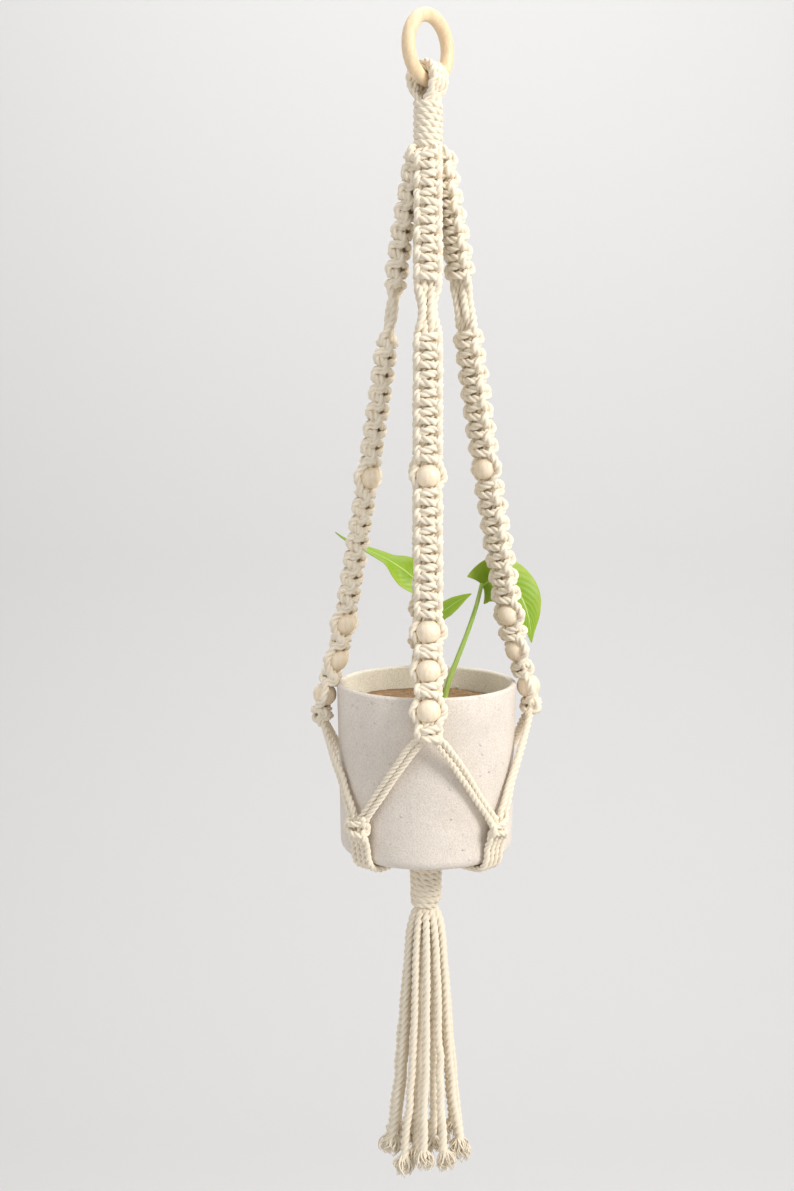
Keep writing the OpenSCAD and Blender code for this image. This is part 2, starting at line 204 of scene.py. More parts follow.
def spline(points, step):
    """Smooth curve through given points: centripetal Catmull-Rom, resampled evenly."""
    p = np.asarray(points, float)
    p = np.vstack([2 * p[0] - p[1], p, 2 * p[-1] - p[-2]])
    gap = np.sqrt(np.maximum(np.linalg.norm(np.diff(p, axis=0), axis=1), 1e-9))
    knots = np.concatenate([[0], np.cumsum(gap)])
    u = np.linspace(0, 1, 14, endpoint=False)[:, None, None]
    p0, p1, p2, p3 = p[:-3], p[1:-2], p[2:-1], p[3:]
    t0, t1, t2, t3 = (knots[k:len(knots) - 3 + k][None, :, None] for k in range(4))
    t = t1 + u * (t2 - t1)
    a1 = (t1 - t) / (t1 - t0) * p0 + (t - t0) / (t1 - t0) * p1
    a2 = (t2 - t) / (t2 - t1) * p1 + (t - t1) / (t2 - t1) * p2
    a3 = (t3 - t) / (t3 - t2) * p2 + (t - t2) / (t3 - t2) * p3
    b1 = (t2 - t) / (t2 - t0) * a1 + (t - t0) / (t2 - t0) * a2
    b2 = (t3 - t) / (t3 - t1) * a2 + (t - t1) / (t3 - t1) * a3
    c = (t2 - t) / (t2 - t1) * b1 + (t - t1) / (t2 - t1) * b2
    c = np.vstack([c.transpose(1, 0, 2).reshape(-1, 3), p[-2]])
    run = np.concatenate([[0], np.cumsum(np.linalg.norm(np.diff(c, axis=0), axis=1))])
    count = max(4, int(round(run[-1] / step)) + 1)
    even = np.linspace(0, run[-1], count)
    return np.stack([np.interp(even, run, c[:, k]) for k in range(3)], 1)


def moving_frames(path):
    """Tangents and a side direction carried along a path with the least turning."""
    tangent = unit(np.gradient(path, axis=0))
    guess = np.array([0.3, 0.5, 0.81])
    side = np.empty_like(tangent)
    side[0] = unit(np.cross(tangent[0], guess))
    for k in range(1, len(path)):
        s = side[k - 1] - tangent[k] * side[k - 1].dot(tangent[k])
        side[k] = s / math.sqrt(s.dot(s))
    return tangent, side


def ply_radius(angle, swell):
    """Outline of three plies as overlapping circles of radius swell, meeting in a crease."""
    third = 2 * math.pi / 3
    off = (angle + third / 2) % third - third / 2
    centre = 1 - swell
    return centre * np.cos(off) + np.sqrt(swell ** 2 - (centre * np.sin(off)) ** 2)


def rope(name, routes, diameter=None, sides=18, swell=0.0, phase=0.0):
    """Laid rope along each route: a three-lobed outline carried and turned along the path.

    The lobes turn once in a lay length. Rounded ends close each rope. U counts the plies round
    the rope, whole at the crown of each ply, and V is the length along it in millimetres.
    swell is how much a loosening rope has thickened by its far end.
    """
    cord = settings().cord
    d = diameter or cord.diameter
    points, faces, uvs = [], [], []
    base = 0
    for n, route in enumerate(routes):
        path = spline(route, cord.ring_step)
        tangent, side = moving_frames(path)
        other = np.cross(tangent, side)
        run = np.concatenate([[0], np.cumsum(np.linalg.norm(np.diff(path, axis=0), axis=1))])
        angle = np.linspace(0, 2 * math.pi, sides, endpoint=False)
        lobes = angle[None, :]
        turn = 2 * math.pi * run[:, None] / (cord.lay * d / cord.diameter) + phase + 2.1 * n
        radius = d / 2 * ply_radius(lobes, cord.ply) * np.ones_like(turn)
        end = np.minimum(run, run[-1] - run)[:, None] + 0.05 * d
        radius = radius * np.sqrt(np.clip(1 - (1 - np.minimum(end / (d / 2), 1)) ** 2, 0.05, 1))
        radius = radius * (1 + swell * (run[:, None] / run[-1]) ** 2)
        whole = lobes + turn
        ring = (path[:, None, :]
                + (radius * np.cos(whole))[..., None] * side[:, None, :]
                + (radius * np.sin(whole))[..., None] * other[:, None, :])
        rows = len(path)
        points.append(ring.reshape(-1, 3))
        around = np.broadcast_to(lobes / (2 * math.pi) * 3, radius.shape)
        along = np.broadcast_to(run[:, None] * 1000, radius.shape)
        uvs.append(np.stack([around + 6 * n, along], -1).reshape(-1, 2))
        faces.extend(grid_faces(rows, sides, True, base)[:, ::-1].tolist())
        points.append(path[[0, -1]])
        uvs.append(np.array([[6.0 * n, 0.0], [6.0 * n, run[-1] * 1000]]))
        tip = base + rows * sides
        loop = np.arange(sides)
        ahead = (loop + 1) % sides
        faces.extend(np.stack([np.full(sides, tip), base + loop, base + ahead], 1).tolist())
        last = base + (rows - 1) * sides
        faces.extend(np.stack([np.full(sides, tip + 1), last + ahead, last + loop], 1).tolist())
        base += rows * sides + 2
    return make_object(name, np.vstack(points), faces, np.vstack(uvs), period=3)


def finish_piece(obj, body, material, slot, *replaced):
    """Give a piece its material, its body and the CAD nodes it stands for; the slot argument is not used."""
    obj.data.materials.clear()
    obj.data.materials.append(material)
    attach(obj, body)
    if replaced:
        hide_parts(*replaced)
    return obj


def finish_cord(obj, body, *replaced):
    """Finish a piece of cotton cord."""
    return finish_piece(obj, body, cotton_cord(), "cotton_cord", *replaced)


def turned(points, angle):
    """Points turned about the vertical axis, by an angle in radians."""
    c, s = math.cos(angle), math.sin(angle)
    x, y, z = np.asarray(points).T
    return np.column_stack([x * c - y * s, x * s + y * c, z])


# ---------------------------------------------------------------- materials

MULTIPLY = {"data_type": "RGBA", "blend_type": "MULTIPLY"}
WHITE = srgb("#ffffff")


def wire(tree, node, values=None, links=None):
    """Set a node's socket values and join its incoming links."""
    for key, value in (values or {}).items():
        node.inputs[key].default_value = value
    for key, source in (links or {}).items():
        tree.links.new(source, node.inputs[key])
    return node


def add(tree, kind, values=None, links=None, stops=(), **fields):
    """Add a shader node with its fields, socket values, incoming links and any ramp stops."""
    node = tree.nodes.new("ShaderNode" + kind)
    for _ in stops[2:]:
        node.color_ramp.elements.new(0.5)
    for k, (position, colour) in enumerate(stops):
        node.color_ramp.elements[k].position = position
        node.color_ramp.elements[k].color = colour
    for key, value in fields.items():
        setattr(node, key, value)
    return wire(tree, node, values, links)


def new_material(name):
    """Material by name, with its tree and shader when it is new and still has to be built."""
    material = bpy.data.materials.get(name)
    if material:
        return material, None, None
    material = bpy.data.materials.new(name)
    material.use_nodes = True
    tree = material.node_tree
    return material, tree, tree.nodes["Principled BSDF"]


def cotton_cord():
    """Natural cotton, three plies laid together: soft, matt, streaked by combed fibres.

    Fibres are about 0.02 mm thick and bunch into streaks near 0.35 mm wide, which is what
    the eye sees; they run along the cord, and the cloudiness between bunches is about 6 mm.
    """
    material, tree, shader = new_material("cotton_cord")
    if tree is None:
        return material
    cord = settings().cord
    uv = add(tree, "UVMap", uv_map="surface").outputs["UV"]
    place = add(tree, "TexCoord").outputs["Object"]
    streak = add(tree, "Mapping", {"Scale": (5.5, 0.16, 1), "Rotation": (0, 0, 0.08)},
                 {"Vector": uv})
    fibres = add(tree, "TexNoise",
                 {"Scale": 2.2, "Detail": 6, "Roughness": 0.65, "Distortion": 0.35},
                 {"Vector": streak.outputs["Vector"]}).outputs["Fac"]
    cloud = add(tree, "TexNoise", {"Scale": 160, "Detail": 3, "Roughness": 0.6},
                {"Vector": place})
    fluff = add(tree, "TexNoise", {"Scale": 1500, "Detail": 4, "Roughness": 0.7},
                {"Vector": place})
    tone = add(tree, "ValToRGB", links={"Fac": fibres},
               stops=[(0.28, srgb("#f5f2ee")), (0.5, cord.colour), (0.8, WHITE)])
    patch = add(tree, "ValToRGB", links={"Fac": cloud.outputs["Fac"]},
                stops=[(0.35, srgb("#faf7f3")), (0.65, WHITE)])
    colour = add(tree, "Mix", {0: 0.55},
                 {6: tone.outputs["Color"], 7: patch.outputs["Color"]}, **MULTIPLY)
    # The creases lie half way between the whole numbers of U. Painted shade: the colour is multiplied darker
    # towards each crease, standing in for the shade between the plies.
    split = add(tree, "SeparateXYZ", links={0: uv})
    part = add(tree, "Math", links={0: split.outputs["X"]}, operation="FRACT")
    middle = add(tree, "Math", {1: 0.5}, {0: part.outputs[0]}, operation="SUBTRACT")
    away = add(tree, "Math", links={0: middle.outputs[0]}, operation="ABSOLUTE")
    painted_crease_shade = add(tree, "ValToRGB", links={"Fac": away.outputs[0]},
                 stops=[(0.0, cord.shade), (0.2, WHITE)])
    shaded = add(tree, "Mix", {0: 1.0},
                 {6: colour.outputs[2], 7: painted_crease_shade.outputs["Color"]}, **MULTIPLY)
    mixed = add(tree, "Math", {1: 0.45}, {0: fluff.outputs["Fac"]}, operation="MULTIPLY")
    height = add(tree, "Math", links={0: fibres, 1: mixed.outputs[0]}, operation="ADD")
    bump = add(tree, "Bump", {"Strength": 0.75, "Distance": 0.0007},
               {"Height": height.outputs[0]})
    wire(tree, shader, {
        "Roughness": 0.92, "IOR": 1.47, "Specular IOR Level": 0.25, "Sheen Weight": 0.35,
        "Sheen Roughness": 0.6, "Sheen Tint": srgb("#fffdfa"), "Subsurface Weight": 0.18,
        "Subsurface Radius": (0.004, 0.0039, 0.0037), "Subsurface Scale": 0.6,
    }, {"Base Color": shaded.outputs[2], "Normal": bump.outputs["Normal"]})
    return material


def turned_wood(name, grain_scale, light, dark):
    """Pale maple or beech, sanded and left unvarnished: faint grain lines and a soft gleam.

    Growth lines are 1 to 2 mm apart with short 3 mm flecks across them.
    """
    material, tree, shader = new_material(name)
    if tree is None:
        return material
    coords = add(tree, "TexCoord")
    place = add(tree, "Mapping", {"Scale": (1, 1, 0.25), "Rotation": (0.5, 0.3, 0.2)},
                {"Vector": coords.outputs["Object"]}).outputs["Vector"]
    warp = add(tree, "TexNoise", {"Scale": 60, "Detail": 3}, {"Vector": place})
    lines = add(tree, "TexWave",
                {"Scale": grain_scale, "Distortion": 3.0, "Detail": 3, "Detail Scale": 2.0,
                 "Detail Roughness": 0.6},
                {"Vector": place}, wave_type="BANDS", bands_direction="X")
    flecks = add(tree, "TexNoise", {"Scale": 900, "Detail": 3, "Roughness": 0.6},
                 {"Vector": place}).outputs["Fac"]
    blend = add(tree, "Math", {1: 0.5}, {0: warp.outputs["Fac"]}, operation="MULTIPLY")
    both = add(tree, "Math", links={0: lines.outputs["Fac"], 1: blend.outputs[0]},
               operation="MULTIPLY")
    tone = add(tree, "ValToRGB", links={"Fac": both.outputs[0]},
               stops=[(0.05, light), (0.42, dark)])
    grey = add(tree, "ValToRGB", links={"Fac": flecks},
               stops=[(0.42, srgb("#f6ede0")), (0.55, WHITE)])
    colour = add(tree, "Mix", {0: 0.6},
                 {6: tone.outputs["Color"], 7: grey.outputs["Color"]}, **MULTIPLY)
    rough = add(tree, "MapRange", {"To Min": 0.42, "To Max": 0.58}, {"Value": flecks})
    bump = add(tree, "Bump", {"Strength": 0.12, "Distance": 0.0003}, {"Height": flecks})
    wire(tree, shader, {"IOR": 1.5, "Subsurface Weight": 0.08,
                        "Subsurface Radius": (0.003, 0.002, 0.001)},
         {"Base Color": colour.outputs[2], "Roughness": rough.outputs["Result"],
          "Normal": bump.outputs["Normal"]})
    return material


def matt_stoneware(name, colour):
    """Unglazed stoneware, cast and sponged: chalky, with fine grit and scattered specks.

    Grit is 0.3 to 0.6 mm, specks are 0.5 to 1 mm and sparse, and throwing marks are faint.
    """
    material, tree, shader = new_material(name)
    if tree is None:
        return material
    place = add(tree, "TexCoord").outputs["Object"]
    grit = add(tree, "TexNoise", {"Scale": 900, "Detail": 4, "Roughness": 0.65},
               {"Vector": place}).outputs["Fac"]
    cloud = add(tree, "TexNoise", {"Scale": 28, "Detail": 4, "Roughness": 0.55},
                {"Vector": place})
    cells = add(tree, "TexVoronoi", {"Scale": 260}, {"Vector": place})
    speck = add(tree, "ValToRGB", links={"Fac": cells.outputs["Distance"]},
                stops=[(0.06, srgb("#d2c7b8")), (0.12, WHITE)])
    rare = add(tree, "TexNoise", {"Scale": 90, "Detail": 1}, {"Vector": place})
    gate = add(tree, "MapRange", {"From Min": 0.5, "From Max": 0.62},
               {"Value": rare.outputs["Fac"]}).outputs["Result"]
    pale = [min(1.0, c * 1.06) for c in colour[:3]] + [1.0]
    deep = [c * 0.93 for c in colour[:3]] + [1.0]
    tone = add(tree, "ValToRGB", links={"Fac": cloud.outputs["Fac"]},
               stops=[(0.35, deep), (0.65, pale)])
    mix = add(tree, "Mix", None,
              {0: gate, 6: tone.outputs["Color"], 7: speck.outputs["Color"]}, **MULTIPLY)
    mottle = add(tree, "ValToRGB", links={"Fac": grit},
                 stops=[(0.38, srgb("#f1ebe5")), (0.58, WHITE)])
    mottled = add(tree, "Mix", {0: 1.0},
                  {6: mix.outputs[2], 7: mottle.outputs["Color"]}, **MULTIPLY)
    # Pimples of slip 1 to 1.5 mm wide stand on it here and there.
    drops = add(tree, "TexVoronoi", {"Scale": 150}, {"Vector": place})
    pimple = add(tree, "MapRange",
                 {"From Min": 0.05, "From Max": 0.2, "To Min": 2.6, "To Max": 0.0},
                 {"Value": drops.outputs["Distance"]})
    chosen = add(tree, "Math", links={0: pimple.outputs["Result"], 1: gate},
                 operation="MULTIPLY")
    height = add(tree, "Math", {1: 0.8}, {0: grit, 2: chosen.outputs[0]},
                 operation="MULTIPLY_ADD")
    bump = add(tree, "Bump", {"Strength": 0.6, "Distance": 0.0008},
               {"Height": height.outputs[0]})
    wire(tree, shader, {"Roughness": 0.78, "IOR": 1.5, "Specular IOR Level": 0.35},
         {"Base Color": mottled.outputs[2], "Normal": bump.outputs["Normal"]})
    return material


def potting_soil():
    """Damp coir potting soil: crumbly, brown, with lighter fibres. Crumbs are 1 to 4 mm."""
    material, tree, shader = new_material("potting_soil")
    if tree is None:
        return material
    coords = add(tree, "TexCoord")
    crumbs = add(tree, "TexNoise", {"Scale": 420, "Detail": 6, "Roughness": 0.75},
                 {"Vector": coords.outputs["Object"]}).outputs["Fac"]
    tone = add(tree, "ValToRGB", links={"Fac": crumbs},
               stops=[(0.3, srgb("#7d5f44")), (0.52, settings().pot.soil), (0.72, srgb("#cdb08c"))])
    bump = add(tree, "Bump", {"Strength": 0.9, "Distance": 0.001}, {"Height": crumbs})
    wire(tree, shader, {"Roughness": 0.95},
         {"Base Color": tone.outputs["Color"], "Normal": bump.outputs["Normal"]})
    return material


def waxy_leaf():
    """Pothos blade: a waxy cuticle over thin green tissue that light shines through.

    The midrib is a pale line, side veins leave it every 5 mm, and the margin is yellower.
    """
    material, tree, shader = new_material("waxy_leaf")
    if tree is None:
        return material
    plant = settings().plant
    uv = add(tree, "UVMap", uv_map="surface")
    split = add(tree, "SeparateXYZ", links={0: uv.outputs["UV"]})
    across = add(tree, "Math", links={0: split.outputs["X"]},
                 operation="ABSOLUTE").outputs[0]
    slant = add(tree, "Math", {1: -0.35}, {0: across, 2: split.outputs["Y"]},
                operation="MULTIPLY_ADD")
    veins = add(tree, "Math", {1: 70.0}, {0: slant.outputs[0]}, operation="MULTIPLY")
    wave = add(tree, "Math", links={0: veins.outputs[0]}, operation="SINE")
    rib = add(tree, "MapRange",
              {"From Min": 0.0, "From Max": 0.07, "To Min": 1.0, "To Max": 0.0},
              {"Value": across}).outputs["Result"]
    edge = add(tree, "MapRange", {"From Min": 0.35, "From Max": 1.0}, {"Value": across})
    coords = add(tree, "TexCoord")
    cloud = add(tree, "TexNoise", {"Scale": 90, "Detail": 3},
                {"Vector": coords.outputs["Object"]})
    amount = add(tree, "Math", links={0: edge.outputs["Result"], 1: cloud.outputs["Fac"]},
                 operation="MULTIPLY")
    blade = add(tree, "ValToRGB", links={"Fac": amount.outputs[0]},
                stops=[(0.1, plant.leaf), (0.7, plant.young)])
    ribbed = add(tree, "Mix", {7: plant.stem}, {0: rib, 6: blade.outputs["Color"]},
                 data_type="RGBA")
    height = add(tree, "Math", {1: 0.15}, {0: wave.outputs[0], 2: rib},
                 operation="MULTIPLY_ADD")
    bump = add(tree, "Bump", {"Strength": 0.35, "Distance": 0.0008},
               {"Height": height.outputs[0]})
    wire(tree, shader, {"Roughness": 0.42, "IOR": 1.45, "Subsurface Weight": 0.35,
                        "Subsurface Radius": (0.003, 0.006, 0.001)},
         {"Base Color": ribbed.outputs[2], "Normal": bump.outputs["Normal"]})
    return material


def green_stalk():
    """Fresh leaf stalk: smooth, slightly translucent yellow-green with fine long ribs."""
    material, tree, shader = new_material("green_stalk")
    if tree is None:
        return material
    uv = add(tree, "UVMap", uv_map="surface")
    place = add(tree, "Mapping", {"Scale": (2.0, 0.05, 1)}, {"Vector": uv.outputs["UV"]})
    ribs = add(tree, "TexNoise", {"Scale": 2, "Detail": 3},
               {"Vector": place.outputs["Vector"]})
    tone = add(tree, "ValToRGB", links={"Fac": ribs.outputs["Fac"]},
               stops=[(0.3, srgb("#86ad3c")), (0.7, settings().plant.stem)])
    wire(tree, shader, {"Roughness": 0.4, "Subsurface Weight": 0.25,
                        "Subsurface Radius": (0.003, 0.005, 0.001)},
         {"Base Color": tone.outputs["Color"]})
    return material


# ---------------------------------------------------------------- arm layout

BEAD_LEN = node_size("front_bead_1")[0] + 0.4 * MM
ARM_START = (-82.7 * MM, 11.2 * MM)
KNOT, BARE = 12 * MM, 33.3 * MM
# Pieces of an arm from the top: kind, length, lean from the vertical in degrees.
ARM_PIECES = (
    [("knot", KNOT, 7.1)] * 7 + [("bare", BARE, 8.3)] + [("knot", KNOT, 8.2)] * 7
    + [("bead", BEAD_LEN, 9.1)] + [("knot", KNOT, 9.4)] * 7
    + [("bead", BEAD_LEN, 10.6), ("knot", 8.8 * MM, 13.1), ("bead", BEAD_LEN, 14.3),
       ("knot", 9.5 * MM, 21.5), ("bead", BEAD_LEN, 16.9), ("knot", 10.4 * MM, -6.6)]
)
# Azimuth, twist, height shift and extra turn of the cords round a bead, for each arm.
ARMS = {
    "front": (-90, 0, 0, 0),
    "right": (0, 50, 3 * MM, 0),
    "back": (90, 0, 0, 0),
    "left": (180, -15, -3 * MM, -30),
}


def arm_line(shift):
    """Stations (height, radius) of an arm, added up piece by piece from the top."""
    z, r = ARM_START
    top = z
    line = [(z, r)]
    for _, length, lean in ARM_PIECES:
        z -= length * math.cos(math.radians(lean))
        r += length * math.sin(math.radians(lean))
        line.append((z, r))
    line = np.array(line)
    line[:, 0] += shift * np.clip((top - line[:, 0]) / (60 * MM), 0, 1)
    return line


class Arm:
    """One arm's centreline with its moving frame: outward and sideways directions."""

    def __init__(self, name):
        azimuth, self.twist, shift, self.bead_turn = ARMS[name]
        self.line = arm_line(shift)
        top = self.line[0]
        lead = np.array([[top[0] + 9 * MM, 4.5 * MM]])
        stations = np.vstack([lead, self.line])
        self.at = np.concatenate([[0], np.cumsum(np.linalg.norm(np.diff(stations, axis=0), axis=1))])
        self.at -= self.at[1]
        curve = spline(np.column_stack([stations[:, 1], np.zeros(len(stations)), stations[:, 0]]), 1 * MM)
        run = np.concatenate([[0], np.cumsum(np.linalg.norm(np.diff(curve, axis=0), axis=1))])
        self.run = run * (self.at[-1] - self.at[0]) / run[-1] + self.at[0]
        # The arms crowd together just under the wrap, and stand clear 80 mm further down.
        near = 1 - np.clip((self.run - self.run[0]) / (85 * MM), 0, 1)
        curve[:, 0] -= 3.4 * MM * near ** 2 * (3 - 2 * near)
        self.curve = curve
        self.azimuth = math.radians(azimuth)
        self.ends = self.at[1:]

    def place(self, local):
        """World points of (u, v, s): u across and v outward in metres, s down the arm."""
        local = np.asarray(local, float)
        u, v, s = local.T
        s_in = np.clip(s, self.run[0], self.run[-1])
        r = np.interp(s_in, self.run, self.curve[:, 0])
        z = np.interp(s_in, self.run, self.curve[:, 2])
        dr = np.interp(s_in, self.run, np.gradient(self.curve[:, 0], self.run))
        dz = np.interp(s_in, self.run, np.gradient(self.curve[:, 2], self.run))
        norm = np.hypot(dr, dz)
        dr, dz = dr / norm, dz / norm
        over = s - s_in
        tw = np.radians(self.twist) * np.clip((z - RIM_Z + 5.7 * MM) / (45 * MM), 0, 1)
        x = v * np.cos(tw) - u * np.sin(tw)
        y = v * np.sin(tw) + u * np.cos(tw)
        radial = r - x * dz + over * dr
        height = z + x * dr + over * dz
        return turned(np.column_stack([radial, y, height]), self.azimuth)


def square_knots(side, first, half, count):
    """Control points (u, v, s) of a knotting cord through half knots.

    The cord crosses the front slanting a little, slips under its partner at the far edge,
    rises round the back of the band's edge and crosses the front again, the other way.
    """
    points = []
    for k in range(count):
        c = first + half * k
        e = -side if k % 2 == 0 else side
        points += [
            (-e * 1.22, 0.02, c + 0.22 * half), (-e * 0.98, 0.66, c + 0.16 * half),
            (-e * 0.40, 1.03, c + 0.06 * half), (e * 0.40, 1.03, c - 0.06 * half),
            (e * 0.98, 0.66, c - 0.16 * half), (e * 1.22, 0.02, c - 0.22 * half),
        ]
        if k < count - 1:
            points += [
                (e * 1.47, -0.52, c + 0.02 * half), (e * 1.52, -0.86, c + 0.5 * half),
                (e * 1.47, -0.52, c + 0.98 * half),
            ]
    return points


def knotting_cord(arm, side, rng):
    """Whole route of one knotting cord down an arm, in (u, v, s) with u, v in diameters."""
    d = settings().cord.diameter
    points = [(side * 0.5, -0.15, arm.at[0]), (side * 0.95, -0.3, arm.ends[0] - 3 * MM)]
    k = 0
    while k < len(ARM_PIECES):
        kind, length, _ = ARM_PIECES[k]
        start = arm.ends[k]
        if kind == "knot":
            run = 1
            while k + run < len(ARM_PIECES) and ARM_PIECES[k + run][0] == "knot":
                run += 1
            total = arm.ends[k + run] - start
            half = total / (2 * run)
            points.append((side * 1.42, -0.45, start - 0.1 * half))
            points += square_knots(side, start + half / 2, half, 2 * run)
            points.append((side * 1.42, -0.4, arm.ends[k + run] - 0.12 * half))
            k += run
            continue
        end = arm.ends[k + 1]
        middle = (start + end) / 2
        if kind == "bead":
            reach = (settings().wood.bead / 2 + d * 0.5) / d
            above_rim = np.interp(end, arm.run, arm.curve[:, 2]) > RIM_Z
            turn = math.radians(arm.bead_turn if above_rim else 0)
            points += [
                (side * r * math.cos(turn), side * r * -math.sin(turn), at)
                for r, at in ((reach - 0.42, start + 0.24 * length), (reach, middle),
                              (reach - 0.42, end - 0.24 * length))
            ]
        else:
            lean = 0.1 * side
            points += [
                (side * 1.32, 0.1 + lean, start + 0.12 * length),
                (side * 0.82, 0.4, start + 0.40 * length),
                (side * 0.78, 0.45 - lean, start + 0.62 * length),
                (side * 1.30, 0.0, start + 0.88 * length),
            ]
        k += 1
    points.append((side * 1.3, -0.1, arm.at[-1] + 2.5 * MM))
    array = np.array(points)
    array[1:-1, :2] += rng.normal(0, 0.035, (len(array) - 2, 2))
    array[1:-1, 2] += rng.normal(0, 0.03 * d, len(array) - 2)
    return array


def filler_cord(arm, side):
    """Straight core cord, drawn together inside the beads."""
    points = [(side * 0.3, 0.1, arm.at[0])]
    for k, (kind, length, _) in enumerate(ARM_PIECES):
        start = arm.ends[k]
        if kind == "bead":
            points += [(side * 0.27, 0, start + f * length) for f in (0.15, 0.5, 0.85)]
        elif kind == "bare":
            points += [(side * 0.52, 0.05, start + 0.1 * length),
                       (side * 0.40, 0.3 * side, start + 0.4 * length),
                       (side * 0.36, 0.28 * side, start + 0.6 * length),
                       (side * 0.5, 0, start + 0.9 * length)]
        else:
            points += [(side * 0.5, 0, start + f * length) for f in (0.2, 0.8)]
    points.append((side * 0.5, 0, arm.at[-1] + 2.5 * MM))
    return np.array(points)


# ---------------------------------------------------------------- operators

class PLANTER_OT_stage(bpy.types.Operator):
    """Camera, soft lights and a pale cyclorama"""
    bl_idname = "planter.stage"
    bl_label = "Stage"

    def execute(self, context):
        stage = settings().stage
        camera = bpy.data.cameras.new("camera")
        camera.sensor_fit = "VERTICAL"
        camera.sensor_height = 36
        camera.lens = 46.07
        eye = bpy.data.objects.new("camera", camera)
        eye.location = (-20.2 * MM, -stage.distance, -0.233)
        eye.rotation_euler = (math.pi / 2 - stage.pitch, 0, 0)
        context.scene.collection.objects.link(eye)
        context.scene.camera = eye

        # Floor and wall in one sheet: flat, a quarter turn, then upright.
        floor, bend, wall = -1.35, 0.8, 1.9
        t = np.linspace(0, math.pi / 2, 24)
        profile = np.vstack([
            [[-3.0, floor]],
            np.column_stack([wall - bend + bend * np.sin(t), floor + bend - bend * np.cos(t)]),
            [[wall, 3.0]],
        ])
        x = np.array([-4.0, 4.0])
        points = np.array([[a, y, z] for y, z in profile for a in x])
        sheet = make_object("cyclorama", points, grid_faces(len(profile), 2, False)[:, ::-1])
        material, tree, shader = new_material("painted_backdrop")
        wire(tree, shader, {"Base Color": stage.wall, "Roughness": 0.9})
        sheet.data.materials.append(material)

        world = bpy.data.worlds.new("studio")
        world.use_nodes = True
        wire(world.node_tree, world.node_tree.nodes["Background"],
             {"Color": srgb("#f1f2f2"), "Strength": 0.6})
        context.scene.world = world
        context.scene.view_settings.view_transform = "Standard"
        lamps = (
            ("key", (1.5, -1.15, 0.7), 0.9, 41, "#fffcfa"),
            ("fill", (-1.6, -1.2, 0.2), 1.6, 8, "#f6f7ff"),
            ("top", (0.2, 0.3, 1.3), 1.4, 8, "#ffffff"),
            ("backdrop", (0.0, 0.7, 1.4), 1.8, 14, "#ffffff"),
        )
        for name, place, size, power, colour in lamps:
            light = bpy.data.lights.new(name, "AREA")
            light.shape = "DISK"
            light.size = size
            light.energy = power
            light.color = srgb(colour)[:3]
            lamp = bpy.data.objects.new(name, light)
            lamp.location = place
            aim = Vector((0, 0, -0.35)) if name != "backdrop" else Vector((0, 1.9, -0.4))
            lamp.rotation_euler = (aim - Vector(place)).to_track_quat("-Z", "Y").to_euler()
            context.scene.collection.objects.link(lamp)
        return {"FINISHED"}


TASSEL_TOP = TASSEL_PIVOT.z - 5.9 * MM
TASSEL_LENGTH = 200 * MM


def strand_route(n):
    """Centreline of a tassel strand: it opens out downwards with slow bends."""
    outer = n < 11
    start = math.radians(n * 360 / 11 + 8 if outer else (n - 11) * 72 + 20)
    r0, r1 = (8.1 * MM, 26 * MM) if outer else (3.75 * MM, 11 * MM)
    drop = TASSEL_LENGTH - (19 + 10 * abs(math.sin(math.radians(n * 77))) + (0 if n == 8 else 3)) * MM
    t = np.concatenate([[0, 0.02, 0.045], np.linspace(0.08, 1, 16)])
    widen = (2.6 if outer else 0.5) * MM * (1 - np.exp(-t * 26))
    r = r0 + widen + (r1 - r0 - widen) * (0.45 * t + 0.55 * t ** 3) + 2.2 * MM * np.sin(math.pi * t)
    a = start + np.radians((5 if outer else 7) * np.sin(np.radians(t * 300 + n * 47)) * t)
    return np.column_stack([r * np.cos(a), r * np.sin(a), TASSEL_TOP - 0.6 * MM - drop * t])


